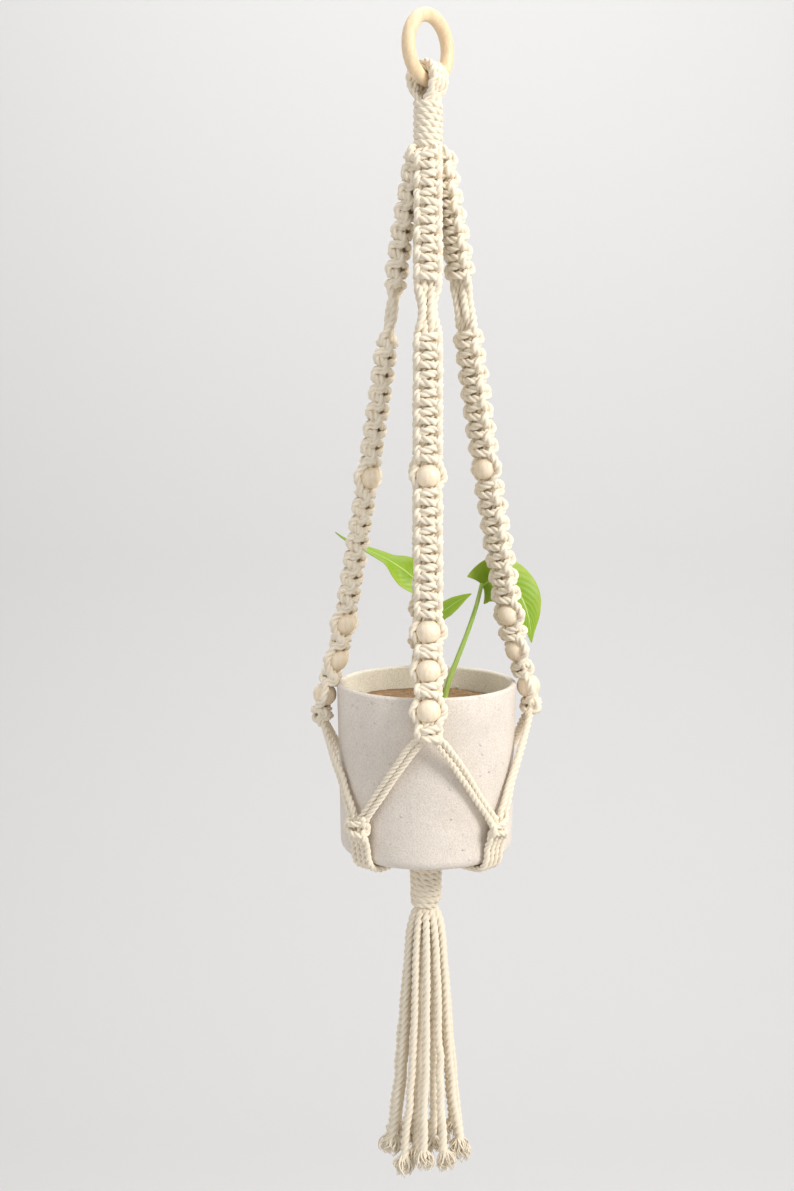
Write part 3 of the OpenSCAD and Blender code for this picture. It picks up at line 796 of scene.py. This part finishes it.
class PLANTER_OT_tassel(bpy.types.Operator):
    """Sixteen loose strands, each a laid rope that is unravelled at its end"""
    bl_idname = "planter.tassel"
    bl_label = "Tassel"

    def execute(self, context):
        d = settings().cord.diameter * 1.18
        rng = np.random.default_rng(SEED + 20)
        for n in range(16):
            route = strand_route(n)
            neck = np.array([route[0] * [f, f, 1] + [0, 0, rise * MM]
                             for f, rise in ((0.55, 6), (0.8, 3))])
            wobble = rng.normal(0, 0.5 * MM, route.shape) * np.linspace(0, 1, len(route))[:, None]
            wobble[:, 2] = 0
            line = np.vstack([neck, route + wobble])
            strand = rope(f"tassel_strand_{n + 1:02d}", [line], d, phase=n, swell=0.22)
            finish_cord(strand, "tassel", "tassel_cords")
            tuft = self.tuft(n, line, d, rng)
        return {"FINISHED"}

    def tuft(self, n, line, d, rng):
        """Loose fibre bundles past a strand's end: thin tubes that curl away from its axis."""
        end, along = line[-1], unit(line[-1] - line[-2])
        side = unit(np.cross(along, [0.2, 1, 0.1]))
        other = np.cross(along, side)
        count, rows, sides = 60, 12, 4
        t = np.linspace(0, 1, rows)
        points, faces = [], []
        for k in range(count):
            angle = rng.uniform(0, 2 * math.pi)
            start = rng.uniform(0.2, 0.45) * d
            spread = rng.uniform(0.2, 1.15) * d
            length = rng.uniform(0, 5.5) * MM
            curl = rng.uniform(-0.6, 0.6) * d
            wave = rng.uniform(5, 12)
            out = start + spread * np.sin(2.6 * t) ** 1.2
            bend = curl * np.sin(wave * t) * t
            turn = angle + 1.2 * t * rng.uniform(-1, 1)
            centre = (end - along * 9 * MM + along * (length + 9 * MM) * t[:, None]
                      + side * (out * np.cos(turn) + bend * np.sin(angle))[:, None]
                      + other * (out * np.sin(turn) - bend * np.cos(angle))[:, None])
            tangent = unit(np.gradient(centre, axis=0))
            x = unit(np.cross(tangent, side + 0.3 * other))
            y = np.cross(tangent, x)
            radius = rng.uniform(0.45, 0.85) * MM * np.sqrt(np.clip(1.12 - t, 0.02, 1))
            ring = np.linspace(0, 2 * math.pi, sides, endpoint=False)
            tube = (centre[:, None] + radius[:, None, None]
                    * (np.cos(ring)[None, :, None] * x[:, None]
                       + np.sin(ring)[None, :, None] * y[:, None]))
            base = k * rows * sides
            points.append(tube.reshape(-1, 3))
            faces += grid_faces(rows, sides, True, base)[:, ::-1].tolist()
            faces += [[base + j for j in range(sides)],
                      [base + (rows - 1) * sides + j for j in reversed(range(sides))]]
        points = np.vstack(points)
        uv = np.column_stack([points[:, 0] * 1000, points[:, 2] * 1000])
        piece = make_object(f"tassel_tuft_{n + 1:02d}", points, faces, uv)
        return finish_cord(piece, "tassel")


class PLANTER_OT_ring(bpy.types.Operator):
    """The wood ring: a sanded torus, very slightly out of round"""
    bl_idname = "planter.ring"
    bl_label = "Ring"

    def execute(self, context):
        a, b = np.meshgrid(np.linspace(0, 2 * math.pi, 128, endpoint=False),
                           np.linspace(0, 2 * math.pi, 40, endpoint=False), indexing="ij")
        tube = RING_TUBE / 2 * (1 + 0.008 * np.sin(3 * a + 1))
        r = RING_R + tube * np.cos(b)
        flat = np.stack([r * np.sin(a), tube * np.sin(b), r * np.cos(a)], -1).reshape(-1, 3)
        points = turned(flat, RING_TURN) + [0, 0, RING_CENTRE_Z]
        quads = grid_faces(129, 40) % (128 * 40)
        ring = make_object("ring", points, quads)
        wood = settings().wood
        deeper = [c * 0.86 for c in wood.ring[:3]] + [1.0]
        recalculate(ring)
        finish_piece(ring, "ring", turned_wood("sanded_beech_ring", 55, wood.ring, deeper),
                     "ring_wood", "hanging_ring")
        return {"FINISHED"}


def recalculate(obj):
    """Turn all faces of a closed mesh outwards."""
    work = bmesh.new()
    work.from_mesh(obj.data)
    bmesh.ops.recalc_face_normals(work, faces=work.faces)
    work.to_mesh(obj.data)
    work.free()


class PLANTER_OT_loops(bpy.types.Operator):
    """Cords folded over the ring and drawn together above the wrap"""
    bl_idname = "planter.loops"
    bl_label = "Ring loops"

    def execute(self, context):
        d = settings().cord.diameter
        rng = np.random.default_rng(SEED)
        routes = []
        for n in range(8):
            layer = n % 2
            lean = math.radians((n - 3.5) * 6.6)
            r = RING_TUBE / 2 + d / 2 + 0.75 * MM + layer * 0.62 * d
            arch = np.radians(np.linspace(-30, 210, 13))
            y = r * np.cos(arch)
            z = r * np.sin(arch)
            across = np.full_like(y, RING_R * -math.sin(lean)) + z * math.sin(lean)
            drop = RING_CENTRE_Z - RING_R * math.cos(lean) + z * math.cos(lean)
            squeeze = 1 - 0.25 * (z < 0)
            loop = np.column_stack([across * squeeze, y, drop])
            spot = 2 * math.pi * (n + 0.5) / 16
            feet = []
            for side in (1, -1):
                ring_r = (3.2 + 2.6 * layer) * MM
                foot_x = ring_r * math.cos(spot)
                foot_y = side * (2.0 * MM + ring_r * abs(math.sin(spot)) * 0.8)
                feet.append(np.array([
                    [across[0] * 0.6, side * 6.6 * MM, TUBE_Z - 8.0 * MM],
                    [foot_x, foot_y, WRAP_TOP - 1 * MM],
                    [foot_x * 0.8, foot_y * 0.8, WRAP_TOP - 8 * MM]]))
            path = np.vstack([feet[0][::-1], loop, feet[1]])
            path[3:-3] += rng.normal(0, 0.12 * MM, (len(path) - 6, 3))
            routes.append(turned(path, RING_TURN))
        piece = rope("ring_loops", routes, d * 1.04)
        finish_cord(piece, "hanger", "ring_loops", "top_core")
        return {"FINISHED"}


def wrap_route(top, bottom, radius, narrow, turns, start, rng):
    """Helix of a gathering wrap, its two ends tucked inwards at the top and the foot."""
    a = np.linspace(0, turns * 2 * math.pi, int(turns * 16) + 1)
    t = a / a[-1]
    r = radius + (narrow - radius) * t + rng.normal(0, 0.05 * MM, len(a))
    tuck = np.clip(np.minimum(t, 1 - t) * turns / 0.45, 0, 1)
    r = r * (0.72 + 0.28 * tuck)
    z = top + (bottom - top) * t + 0.25 * MM * np.sin(3.1 * a)
    return np.column_stack([r * np.cos(start + a), r * np.sin(start + a), z])


class PLANTER_OT_wraps(bpy.types.Operator):
    """The gathering wraps above the arms and below the pot"""
    bl_idname = "planter.wraps"
    bl_label = "Wraps"

    def execute(self, context):
        d = settings().cord.diameter
        rng = np.random.default_rng(SEED + 3)
        top_r = node_size("top_wrap")[0] / 2 - d / 2 + 0.3 * MM
        top = rope("top_wrap_cord", [wrap_route(
            WRAP_TOP - 0.45 * d, WRAP_BOTTOM + 0.3 * d, top_r, top_r, 7.3, 0.4, rng)], d * 1.18)
        finish_cord(top, "hanger", "top_wrap")
        low_r = node_size("bottom_wrap")[0] / 2 - d / 2 + 0.4 * MM
        low = rope("bottom_wrap_cord", [wrap_route(
            LOW_TOP - 0.3 * d, LOW_BOTTOM + 0.45 * d, low_r, low_r - 0.7 * MM, 6.8, 1.2, rng)], d * 1.2)
        finish_cord(low, "hanger", "bottom_wrap")
        return {"FINISHED"}


class PLANTER_OT_arms(bpy.types.Operator):
    """Four arms of square knots round core cords"""
    bl_idname = "planter.arms"
    bl_label = "Arms"

    def execute(self, context):
        d = settings().cord.diameter
        for index, name in enumerate(ARMS):
            arm = Arm(name)
            rng = np.random.default_rng(SEED + 100 + index)
            first = knotting_cord(arm, -1, rng)
            second = knotting_cord(arm, -1, rng)
            second[:, :2] *= -1
            routes = []
            for local in (first, second, filler_cord(arm, -1), filler_cord(arm, 1)):
                routes.append(arm.place(local * [d, d, 1]))
            piece = rope(f"{name}_arm_cords", routes, d * 1.2, phase=index)
            finish_cord(piece, "hanger",
                         f"{name}_arm_knots", f"{name}_arm_fillers")
        return {"FINISHED"}


class PLANTER_OT_beads(bpy.types.Operator):
    """Sixteen turned wood beads, rounded into their bores"""
    bl_idname = "planter.beads"
    bl_label = "Beads"

    def execute(self, context):
        wood = settings().wood
        radius, bore = wood.bead / 2, wood.bore / 2
        for joint in FRAME["joints"]:
            if not joint["name"].endswith("_spin"):
                continue
            name = joint["child"]
            centre = np.array(joint["pos_m"])
            up = unit(np.array(joint["axis"], float))
            # Profile: down the ball from pole to pole, then back up the bore, with a 0.7 mm lip.
            lip = 0.7 * MM
            reach = math.asin((bore + lip) / radius)
            t = np.linspace(reach, math.pi - reach, 40)
            ball = np.column_stack([radius * np.sin(t), radius * np.cos(t)])
            edge = radius * math.cos(reach)
            q = np.linspace(0, math.pi / 2, 6)[1:]
            low = np.column_stack([bore + lip * (1 - np.sin(q)), -edge + lip * (1 - np.cos(q))])
            high = low[::-1] * [1, -1]
            profile = np.vstack([ball, low, high])
            around = np.linspace(0, 2 * math.pi, 56, endpoint=False)
            x = unit(np.cross(up, [0.3, 0.9, 0.2]))
            y = np.cross(up, x)
            points = (centre + profile[:, 0][:, None, None]
                      * (np.cos(around)[None, :, None] * x + np.sin(around)[None, :, None] * y)
                      + profile[:, 1][:, None, None] * up)
            rows = len(profile)
            quads = grid_faces(rows + 1, 56) % (rows * 56)
            bead = make_object(name + "_turned", points.reshape(-1, 3), quads)
            recalculate(bead)
            finish_piece(bead, name, turned_wood("turned_maple_bead", 90, wood.light, wood.dark),
                         "bead_wood", name)
        return {"FINISHED"}


# Which arm feeds each pair of sling cords, and to which side.
SLING_PAIRS = (
    ("front", "left", -1), ("front", "right", 1), ("right", "front", -1), ("right", "back", 1),
    ("back", "right", -1), ("back", "left", 1), ("left", "back", -1), ("left", "front", 1),
)
SLING_KNOTS = {"front_right": -45, "back_right": 45, "back_left": 135, "front_left": 225}


def polar(r, a, z):
    return np.column_stack([r * np.cos(a), r * np.sin(a), z])


class PLANTER_OT_sling(bpy.types.Operator):
    """Cords from the arms round the pot, their knots, and the cords under the pot"""
    bl_idname = "planter.sling"
    bl_label = "Sling"

    def execute(self, context):
        d = settings().cord.diameter
        rng = np.random.default_rng(SEED + 40)
        knot_top = SLING_KNOT_HIGH[2]
        for name, to, turn in SLING_PAIRS:
            arm = Arm(name)
            end_z, end_r = arm.line[-1]
            azimuth = math.radians(ARMS[name][0])
            routes = []
            for k in (0, 1):
                a0 = azimuth + turn * (0.5 + k) * d / end_r
                out = azimuth + turn * (2.9 + 5.4 * k) * MM / end_r
                a1 = azimuth + turn * (math.pi / 4 - (7.2 - 4.8 * k) * MM / SLING_R)
                t = np.array([0.06, 0.16, 0.28, 0.44, 0.58, 0.72, 0.86, 0.96])
                r = end_r + (SLING_R - end_r) * np.minimum(1, t * 1.6) - 1.5 * MM * np.sin(math.pi * t)
                body = polar(r, out + (a1 - out) * t, end_z + (knot_top - end_z) * t)
                head = polar(np.array([end_r, end_r]), np.array([a0, a0 * 0.7 + out * 0.3]),
                             np.array([end_z + 4.5 * MM, end_z + 0.3 * MM]))
                foot = polar(np.array([SLING_R]), np.array([a1]), np.array([knot_top - 1.5 * MM]))
                body += rng.normal(0, 0.18 * MM, body.shape)
                routes.append(np.vstack([head, body, foot]))
            piece = rope(f"{name}_sling_cords_to_{to}", routes, d, phase=turn)
            finish_cord(piece, "hanger", f"{name}_cords_to_{to}")

        for name, degrees in SLING_KNOTS.items():
            azimuth = math.radians(degrees)
            height = SLING_KNOT_HIGH[2] - SLING_KNOT_LOW[2]
            half = height / 2
            side = -1
            local = [(side * 1.5, 0, -2.5 * MM), (side * 1.5, -0.3, -0.8 * MM)]
            local += square_knots(side, half / 2, half, 2)
            local += [(side * 1.45, -0.2, height - 0.1 * half), (side * 1.5, 0, height + 2.5 * MM)]
            local = np.array(local)
            other = local * [-1, -1, 1]
            stops = (-2.5 * MM, 0.3 * height, 0.7 * height, height + 2.5 * MM)
            core = [np.array([(k * 0.5, 0, s) for s in stops]) for k in (-1, 1)]
            routes = []
            for route in [local, other] + core:
                u, v, s = route[:, 0] * d, route[:, 1] * d * 0.8, route[:, 2]
                radial = SLING_R + 0.6 * MM + v
                routes.append(turned(np.column_stack([radial, u, knot_top - s]), azimuth))
            piece = rope(f"{name}_sling_knot_cords", routes, d * 0.98, phase=degrees)
            finish_cord(piece, "hanger", f"sling_knot_{name}")

            self.base(name, azimuth, d, rng)
        return {"FINISHED"}

    def base(self, name, azimuth, d, rng):
        """Four cords from a sling knot over the pot's foot and in to the gather below it."""
        corner = 7 * MM
        c = np.array([FOOT_R - corner, FOOT_Z + corner])
        bend = corner + d / 2 + 0.5 * MM
        foot = SLING_KNOT_LOW[2]
        run = [(SLING_R, foot + 2 * MM), (SLING_R - 0.4 * MM, foot - 1.5 * MM),
               (c[0] + bend + 0.9 * MM, (foot + c[1]) / 2)]
        run += [(c[0] + bend * math.cos(a), c[1] - bend * math.sin(a))
                for a in np.radians([0, 30, 60, 90])]
        under = c[1] - bend
        run += [(40 * MM, under - 0.1 * MM), (26 * MM, under - 0.3 * MM), (15 * MM, under - 0.8 * MM)]
        routes = []
        for k in (-1.5, -0.5, 0.5, 1.5):
            path = np.array([(x, k * d * 0.97, z) for x, z in run])
            wide = np.interp(path[:, 0], [10 * MM, 30 * MM, 60 * MM], [0.86, 0.97, 1.0])
            path[:, 1] *= wide
            path[2:-1] += rng.normal(0, 0.15 * MM, path[2:-1].shape)
            last = 5.6 * MM + 1.2 * MM * (abs(k) < 1)
            tail = np.array([
                (9.6 * MM + (abs(k) < 1) * 1.2 * MM, k * 3.2 * MM, under - 3.2 * MM),
                (last, k * 2.1 * MM, under - 9 * MM), (last - 1 * MM, k * 1.8 * MM, under - 15 * MM)])
            path = np.vstack([path, tail])
            routes.append(turned(path, azimuth))
        piece = rope(f"{name}_base_strands", routes, d * 0.98, phase=azimuth)
        nodes = [f"base_cords_{name}"] + (["base_gather"] if name == "front_left" else [])
        finish_cord(piece, "hanger", *nodes)


def lathe(name, profile, segments, uneven=0.0):
    """Surface of revolution of a closed (r, z) profile, with a slow hand-made unevenness."""
    a = np.linspace(0, 2 * math.pi, segments, endpoint=False)
    profile = np.asarray(profile)
    height = profile[:, 1][:, None]
    waves = np.sin(2 * a + 1) + 0.5 * np.sin(5 * a + 60 * height)
    r = profile[:, 0][:, None] * (1 + uneven * waves)
    points = np.stack([r * np.cos(a), r * np.sin(a), np.broadcast_to(height, r.shape)], -1)
    obj = make_object(name, points.reshape(-1, 3), grid_faces(len(profile), segments))
    work = bmesh.new()
    work.from_mesh(obj.data)
    work.verts.ensure_lookup_table()
    bmesh.ops.remove_doubles(work, verts=work.verts, dist=1e-6)
    bmesh.ops.holes_fill(work, edges=[e for e in work.edges if e.is_boundary], sides=0)
    bmesh.ops.recalc_face_normals(work, faces=work.faces)
    work.to_mesh(obj.data)
    work.free()
    obj.data.polygons.foreach_set("use_smooth", [True] * len(obj.data.polygons))
    return obj


def arc(cx, cz, radius, start, stop, count):
    a = np.radians(np.linspace(start, stop, count))
    return np.column_stack([cx + radius * np.cos(a), cz + radius * np.sin(a)])


class PLANTER_OT_pot(bpy.types.Operator):
    """The stoneware pot and its soil"""
    bl_idname = "planter.pot"
    bl_label = "Pot"

    def execute(self, context):
        pot = settings().pot
        corner, lip = 7 * MM, pot.wall / 2
        side = np.linspace(0, 1, 26)[1:-1]
        inner_r = RIM_R - pot.wall
        outer = np.vstack([
            [[1e-5, FOOT_Z + 0.8 * MM], [FOOT_R - corner - 9 * MM, FOOT_Z + 0.8 * MM],
             [FOOT_R - corner - 7.5 * MM, FOOT_Z + 0.5 * MM], [FOOT_R - corner - 6.5 * MM, FOOT_Z]],
            arc(FOOT_R - corner, FOOT_Z + corner, corner, -90, 0, 12),
            np.column_stack([FOOT_R + (RIM_R - FOOT_R) * side,
                             FOOT_Z + corner + (RIM_Z - lip - FOOT_Z - corner) * side]),
            arc(RIM_R - lip, RIM_Z - lip, lip, 0, 180, 15),
            [[inner_r, RIM_Z - 6 * MM], [inner_r - 0.2 * MM, RIM_Z - 14 * MM]],
            [[inner_r - 1.2 * MM, FOOT_Z + 30 * MM], [inner_r - 2.5 * MM, FOOT_Z + 9 * MM],
             [inner_r - 7 * MM, FOOT_Z + 5.2 * MM], [1e-5, FOOT_Z + 5.2 * MM]],
        ])
        shell = lathe("pot_shell", outer, 192, 0.0016)
        finish_piece(shell, "pot", matt_stoneware("sponged_stoneware", pot.body), "stoneware", "pot")
        inner = matt_stoneware("stoneware_inside", pot.inside)
        shell.data.materials.append(inner)
        centres = np.empty(len(shell.data.polygons) * 3)
        shell.data.polygons.foreach_get("center", centres)
        centres = centres.reshape(-1, 3)
        near_axis = np.hypot(centres[:, 0], centres[:, 1]) < inner_r + 0.6 * MM
        inside = near_axis & (centres[:, 2] > FOOT_Z + 3 * MM)
        shell.data.polygons.foreach_set("material_index", inside.astype(np.int32))

        rng = np.random.default_rng(SEED + 60)
        rings, spokes = 40, 120
        r, a = np.meshgrid(np.linspace(0, 1, rings), np.linspace(0, 2 * math.pi, spokes, endpoint=False),
                           indexing="ij")
        lumps = sum(h * np.sin(kx * r * np.cos(a) * 20 + px) * np.sin(ky * r * np.sin(a) * 20 + py)
                    for h, kx, ky, px, py in zip((0.9, 0.6, 0.4, 0.3), (0.35, 0.8, 1.5, 2.6),
                                                 (0.42, 0.7, 1.7, 2.3),
                                                 rng.uniform(0, 6, 4), rng.uniform(0, 6, 4)))
        top_r = inner_r - 0.55 * MM
        z = SOIL_Z - 2.6 * MM + lumps * MM * 0.6 * (1 - 0.3 * r)
        surface = np.stack([top_r * r * np.cos(a), top_r * r * np.sin(a), z], -1).reshape(-1, 3)
        foot = surface.reshape(rings, spokes, 3)[-1] * [0.985, 0.985, 1] - [0, 0, 12 * MM]
        points = np.vstack([surface, foot])
        faces = grid_faces(rings + 1, spokes)[spokes:].tolist()
        faces += [[spokes + (k + 1) % spokes, spokes + k, 0] for k in range(spokes)]
        faces.append([rings * spokes + k for k in reversed(range(spokes))])
        soil = make_object("soil_surface", points, faces)
        work = bmesh.new()
        work.from_mesh(soil.data)
        bmesh.ops.delete(work, geom=[v for v in work.verts if not v.link_faces], context="VERTS")
        bmesh.ops.recalc_face_normals(work, faces=work.faces)
        work.to_mesh(soil.data)
        work.free()
        finish_piece(soil, "pot", potting_soil(), "soil", "soil")
        return {"FINISHED"}


def leaf_blade(name, spine, widths, side, cup, droop, lobe, thick=0.55 * MM):
    """Leaf blade: a spine with half widths, cupped across, its base pulled back in two lobes.

    side gives the direction across the blade as rows of (share of the length, x, y, z).
    """
    rows, columns = 34, 21
    line = spline(spine, 0.1 * MM)
    run = np.linspace(0, 1, len(line))
    t = np.linspace(0, 1, rows)
    centre = np.stack([np.interp(t, run, line[:, k]) for k in range(3)], 1)
    half = np.interp(t, np.linspace(0, 1, len(widths)), widths)
    tangent = unit(np.gradient(centre, axis=0))
    stops = np.asarray(side, float)
    lean = np.stack([np.interp(t, stops[:, 0], stops[:, k]) for k in (1, 2, 3)], 1)
    across = unit(lean - (lean * tangent).sum(1, keepdims=True) * tangent)
    normal = np.cross(tangent, across)
    q = np.linspace(-1, 1, columns)
    length = np.linalg.norm(np.diff(line, axis=0), axis=1).sum()
    back = lobe * length * (np.abs(q)[None, :] ** 1.7) * (1 - t[:, None]) ** 3
    ripple = 0.035 * half[:, None] * np.sin(9 * t[:, None] + 2 * np.sign(q)) * q[None, :] ** 2
    points = (centre[:, None] + across[:, None] * (half[:, None] * q)[..., None]
              - tangent[:, None] * back[..., None]
              + normal[:, None] * (cup * q ** 2 * half[:, None] / max(widths) + ripple
                                   + droop * np.abs(q) * half[:, None])[..., None])
    uv = np.stack([np.broadcast_to(q, (rows, columns)), np.broadcast_to(t[:, None], (rows, columns))], -1)
    obj = make_object(name, points.reshape(-1, 3), grid_faces(rows, columns, False), uv.reshape(-1, 2))
    solid = obj.modifiers.new("thickness", "SOLIDIFY")
    solid.thickness = thick
    solid.offset = 0
    smooth = obj.modifiers.new("smooth", "SUBSURF")
    smooth.levels = smooth.render_levels = 1
    return obj


class PLANTER_OT_plant(bpy.types.Operator):
    """Three leaves and their stalks"""
    bl_idname = "planter.plant"
    bl_label = "Plant"

    def execute(self, context):
        mm = lambda rows: [tuple(v * MM for v in row) for row in rows]
        left = leaf_blade(
            "left_leaf_blade",
            mm([(-9, 15, -363), (-16, 16.5, -357.5), (-24, 18.5, -352.5), (-33, 20.5, -348),
                (-42, 21.5, -344), (-51, 22, -340), (-58, 22, -336), (-63, 21.5, -332)]),
            [w * MM for w in (9, 12, 12, 10.5, 8.5, 6.5, 4.5, 2.4, 0.2)],
            [(0, 0.1, 0.35, 0.93), (0.14, 0.1, 0.5, 0.86), (0.36, 0, 0.96, 0.26), (1, 0, 0.97, 0.22)],
            -2 * MM, 0.08, 0.12)
        right = leaf_blade(
            "right_leaf_blade",
            mm([(38, 10.5, -368), (43, 13, -365), (50, 17, -364.5), (57.5, 20, -368),
                (64, 22, -375), (69, 22, -385), (72, 21, -397), (73, 19, -409)]),
            [w * MM for w in (11.5, 15, 16, 16.5, 16, 13.5, 9, 3.5, 0.3)],
            [(0, 0.5, 0.3, 0.75), (1, 0.62, 0.3, 0.7)], -3 * MM, 0.12, 0.09)
        small = leaf_blade(
            "small_leaf_blade",
            mm([(5, -3.5, -389), (10, -4.5, -384.5), (17, -6, -379), (22, -7, -375.5), (26, -7.5, -373),
                (30, -8, -371)]),
            [w * MM for w in (3, 5.4, 6.0, 4.8, 2.6, 0.3)],
            [(0, -0.4, 0.5, 0.7), (1, -0.4, 0.5, 0.7)], -1 * MM, 0.2, 0.05)
        for piece, node in ((left, "left_leaf"), (right, "right_leaf"), (small, "small_leaf")):
            finish_piece(piece, "pot", waxy_leaf(), "leaf", node)
        soil = SOIL_Z - 3 * MM
        routes = (
            ("left_leaf_stalk", 1.9, mm([(-8.5, 15, -364), (-5, 14, -372), (-2, 11, -392), (0, 9, -415),
                                         (1, 7, -432)]) + [(1.5 * MM, 5 * MM, soil)]),
            ("small_leaf_stalk", 1.6, mm([(7.8, -4, -385.3), (5.5, -3.5, -392), (4, -3, -402),
                                          (3.5, -2, -415), (4.5, -1.5, -432)]) + [(5.5 * MM, -1.5 * MM, soil)]),
            ("right_leaf_stalk", 3.3, mm([(38, 10.6, -366), (34, 9, -382), (28, 7, -400), (21, 5, -418),
                                          (15, 3.5, -434)]) + [(12 * MM, 3 * MM, soil)]),
        )
        for name, width, route in routes:
            stalk = self.stalk(name, np.array(route), width * MM)
            nodes = ["stems"] if name == "right_leaf_stalk" else []
            finish_piece(stalk, "pot", green_stalk(), "stem", *nodes)
        return {"FINISHED"}

    def stalk(self, name, route, width):
        """Round stalk carried along its route, thicker towards the soil."""
        path = spline(route, 1.5 * MM)
        tangent, side = moving_frames(path)
        other = np.cross(tangent, side)
        t = np.linspace(0, 1, len(path))[:, None]
        radius = width / 2 * (0.85 + 0.35 * t)
        a = np.linspace(0, 2 * math.pi, 14, endpoint=False)
        points = (path[:, None] + (radius * np.cos(a))[..., None] * side[:, None]
                  + (radius * np.sin(a))[..., None] * other[:, None]).reshape(-1, 3)
        rows = len(path)
        faces = grid_faces(rows, 14)[:, ::-1].tolist()
        faces += [list(range(14)), [(rows - 1) * 14 + k for k in reversed(range(14))]]
        uv = np.column_stack([np.tile(a, rows) * width * 500, np.repeat(t[:, 0] * 100, 14)])
        piece = make_object(name, points, faces, uv)
        recalculate(piece)
        return piece


class PLANTER_OT_tassel_neck(bpy.types.Operator):
    """Cord core between the lower wrap and the tassel"""
    bl_idname = "planter.tassel_neck"
    bl_label = "Tassel neck"

    def execute(self, context):
        d = settings().cord.diameter
        routes = []
        for n in range(9):
            a = n * 2 * math.pi / 8
            r = 5.2 * MM if n < 8 else 0.0
            top = 2.2 * MM if n < 8 else 0.0
            routes.append(np.array([
                (top * math.cos(a), top * math.sin(a), TASSEL_PIVOT.z + 1.0 * MM),
                (r * 0.7 * math.cos(a), r * 0.7 * math.sin(a), TASSEL_PIVOT.z - 2.5 * MM),
                (r * math.cos(a), r * math.sin(a), TASSEL_TOP - 2 * MM),
                (r * 1.1 * math.cos(a), r * 1.1 * math.sin(a), TASSEL_TOP - 9 * MM)]))
        piece = rope("tassel_neck_cords", routes, d * 0.9)
        finish_cord(piece, "tassel", "tassel_top")
        return {"FINISHED"}


class PLANTER_PT_panel(bpy.types.Panel):
    """Buttons for the planter's pieces"""
    bl_idname = "PLANTER_PT_panel"
    bl_label = "Macrame planter"
    bl_space_type = "VIEW_3D"
    bl_region_type = "UI"
    bl_category = "Planter"

    def draw(self, context):
        for operator in OPERATORS:
            self.layout.operator(operator.bl_idname)
        for part in ("cord", "wood", "pot", "plant", "stage"):
            group = getattr(settings(), part)
            box = self.layout.box()
            for key in group.bl_rna.properties.keys():
                if key not in {"rna_type", "name"}:
                    box.prop(group, key)


OPERATORS = (
    PLANTER_OT_stage, PLANTER_OT_tassel, PLANTER_OT_tassel_neck, PLANTER_OT_ring, PLANTER_OT_loops,
    PLANTER_OT_wraps, PLANTER_OT_arms, PLANTER_OT_beads, PLANTER_OT_sling, PLANTER_OT_pot,
    PLANTER_OT_plant,
)
CLASSES = (CordSettings, WoodSettings, PotSettings, PlantSettings, StageSettings, PlanterSettings,
           PLANTER_PT_panel) + OPERATORS


def register():
    for item in CLASSES:
        bpy.utils.register_class(item)
    bpy.types.Scene.planter = PointerProperty(type=PlanterSettings)


def unregister():
    del bpy.types.Scene.planter
    for item in reversed(CLASSES):
        bpy.utils.unregister_class(item)


def main():
    register()
    for operator in OPERATORS:
        getattr(bpy.ops.planter, operator.bl_idname.split(".")[1])()


if __name__ == "__main__":
    main()
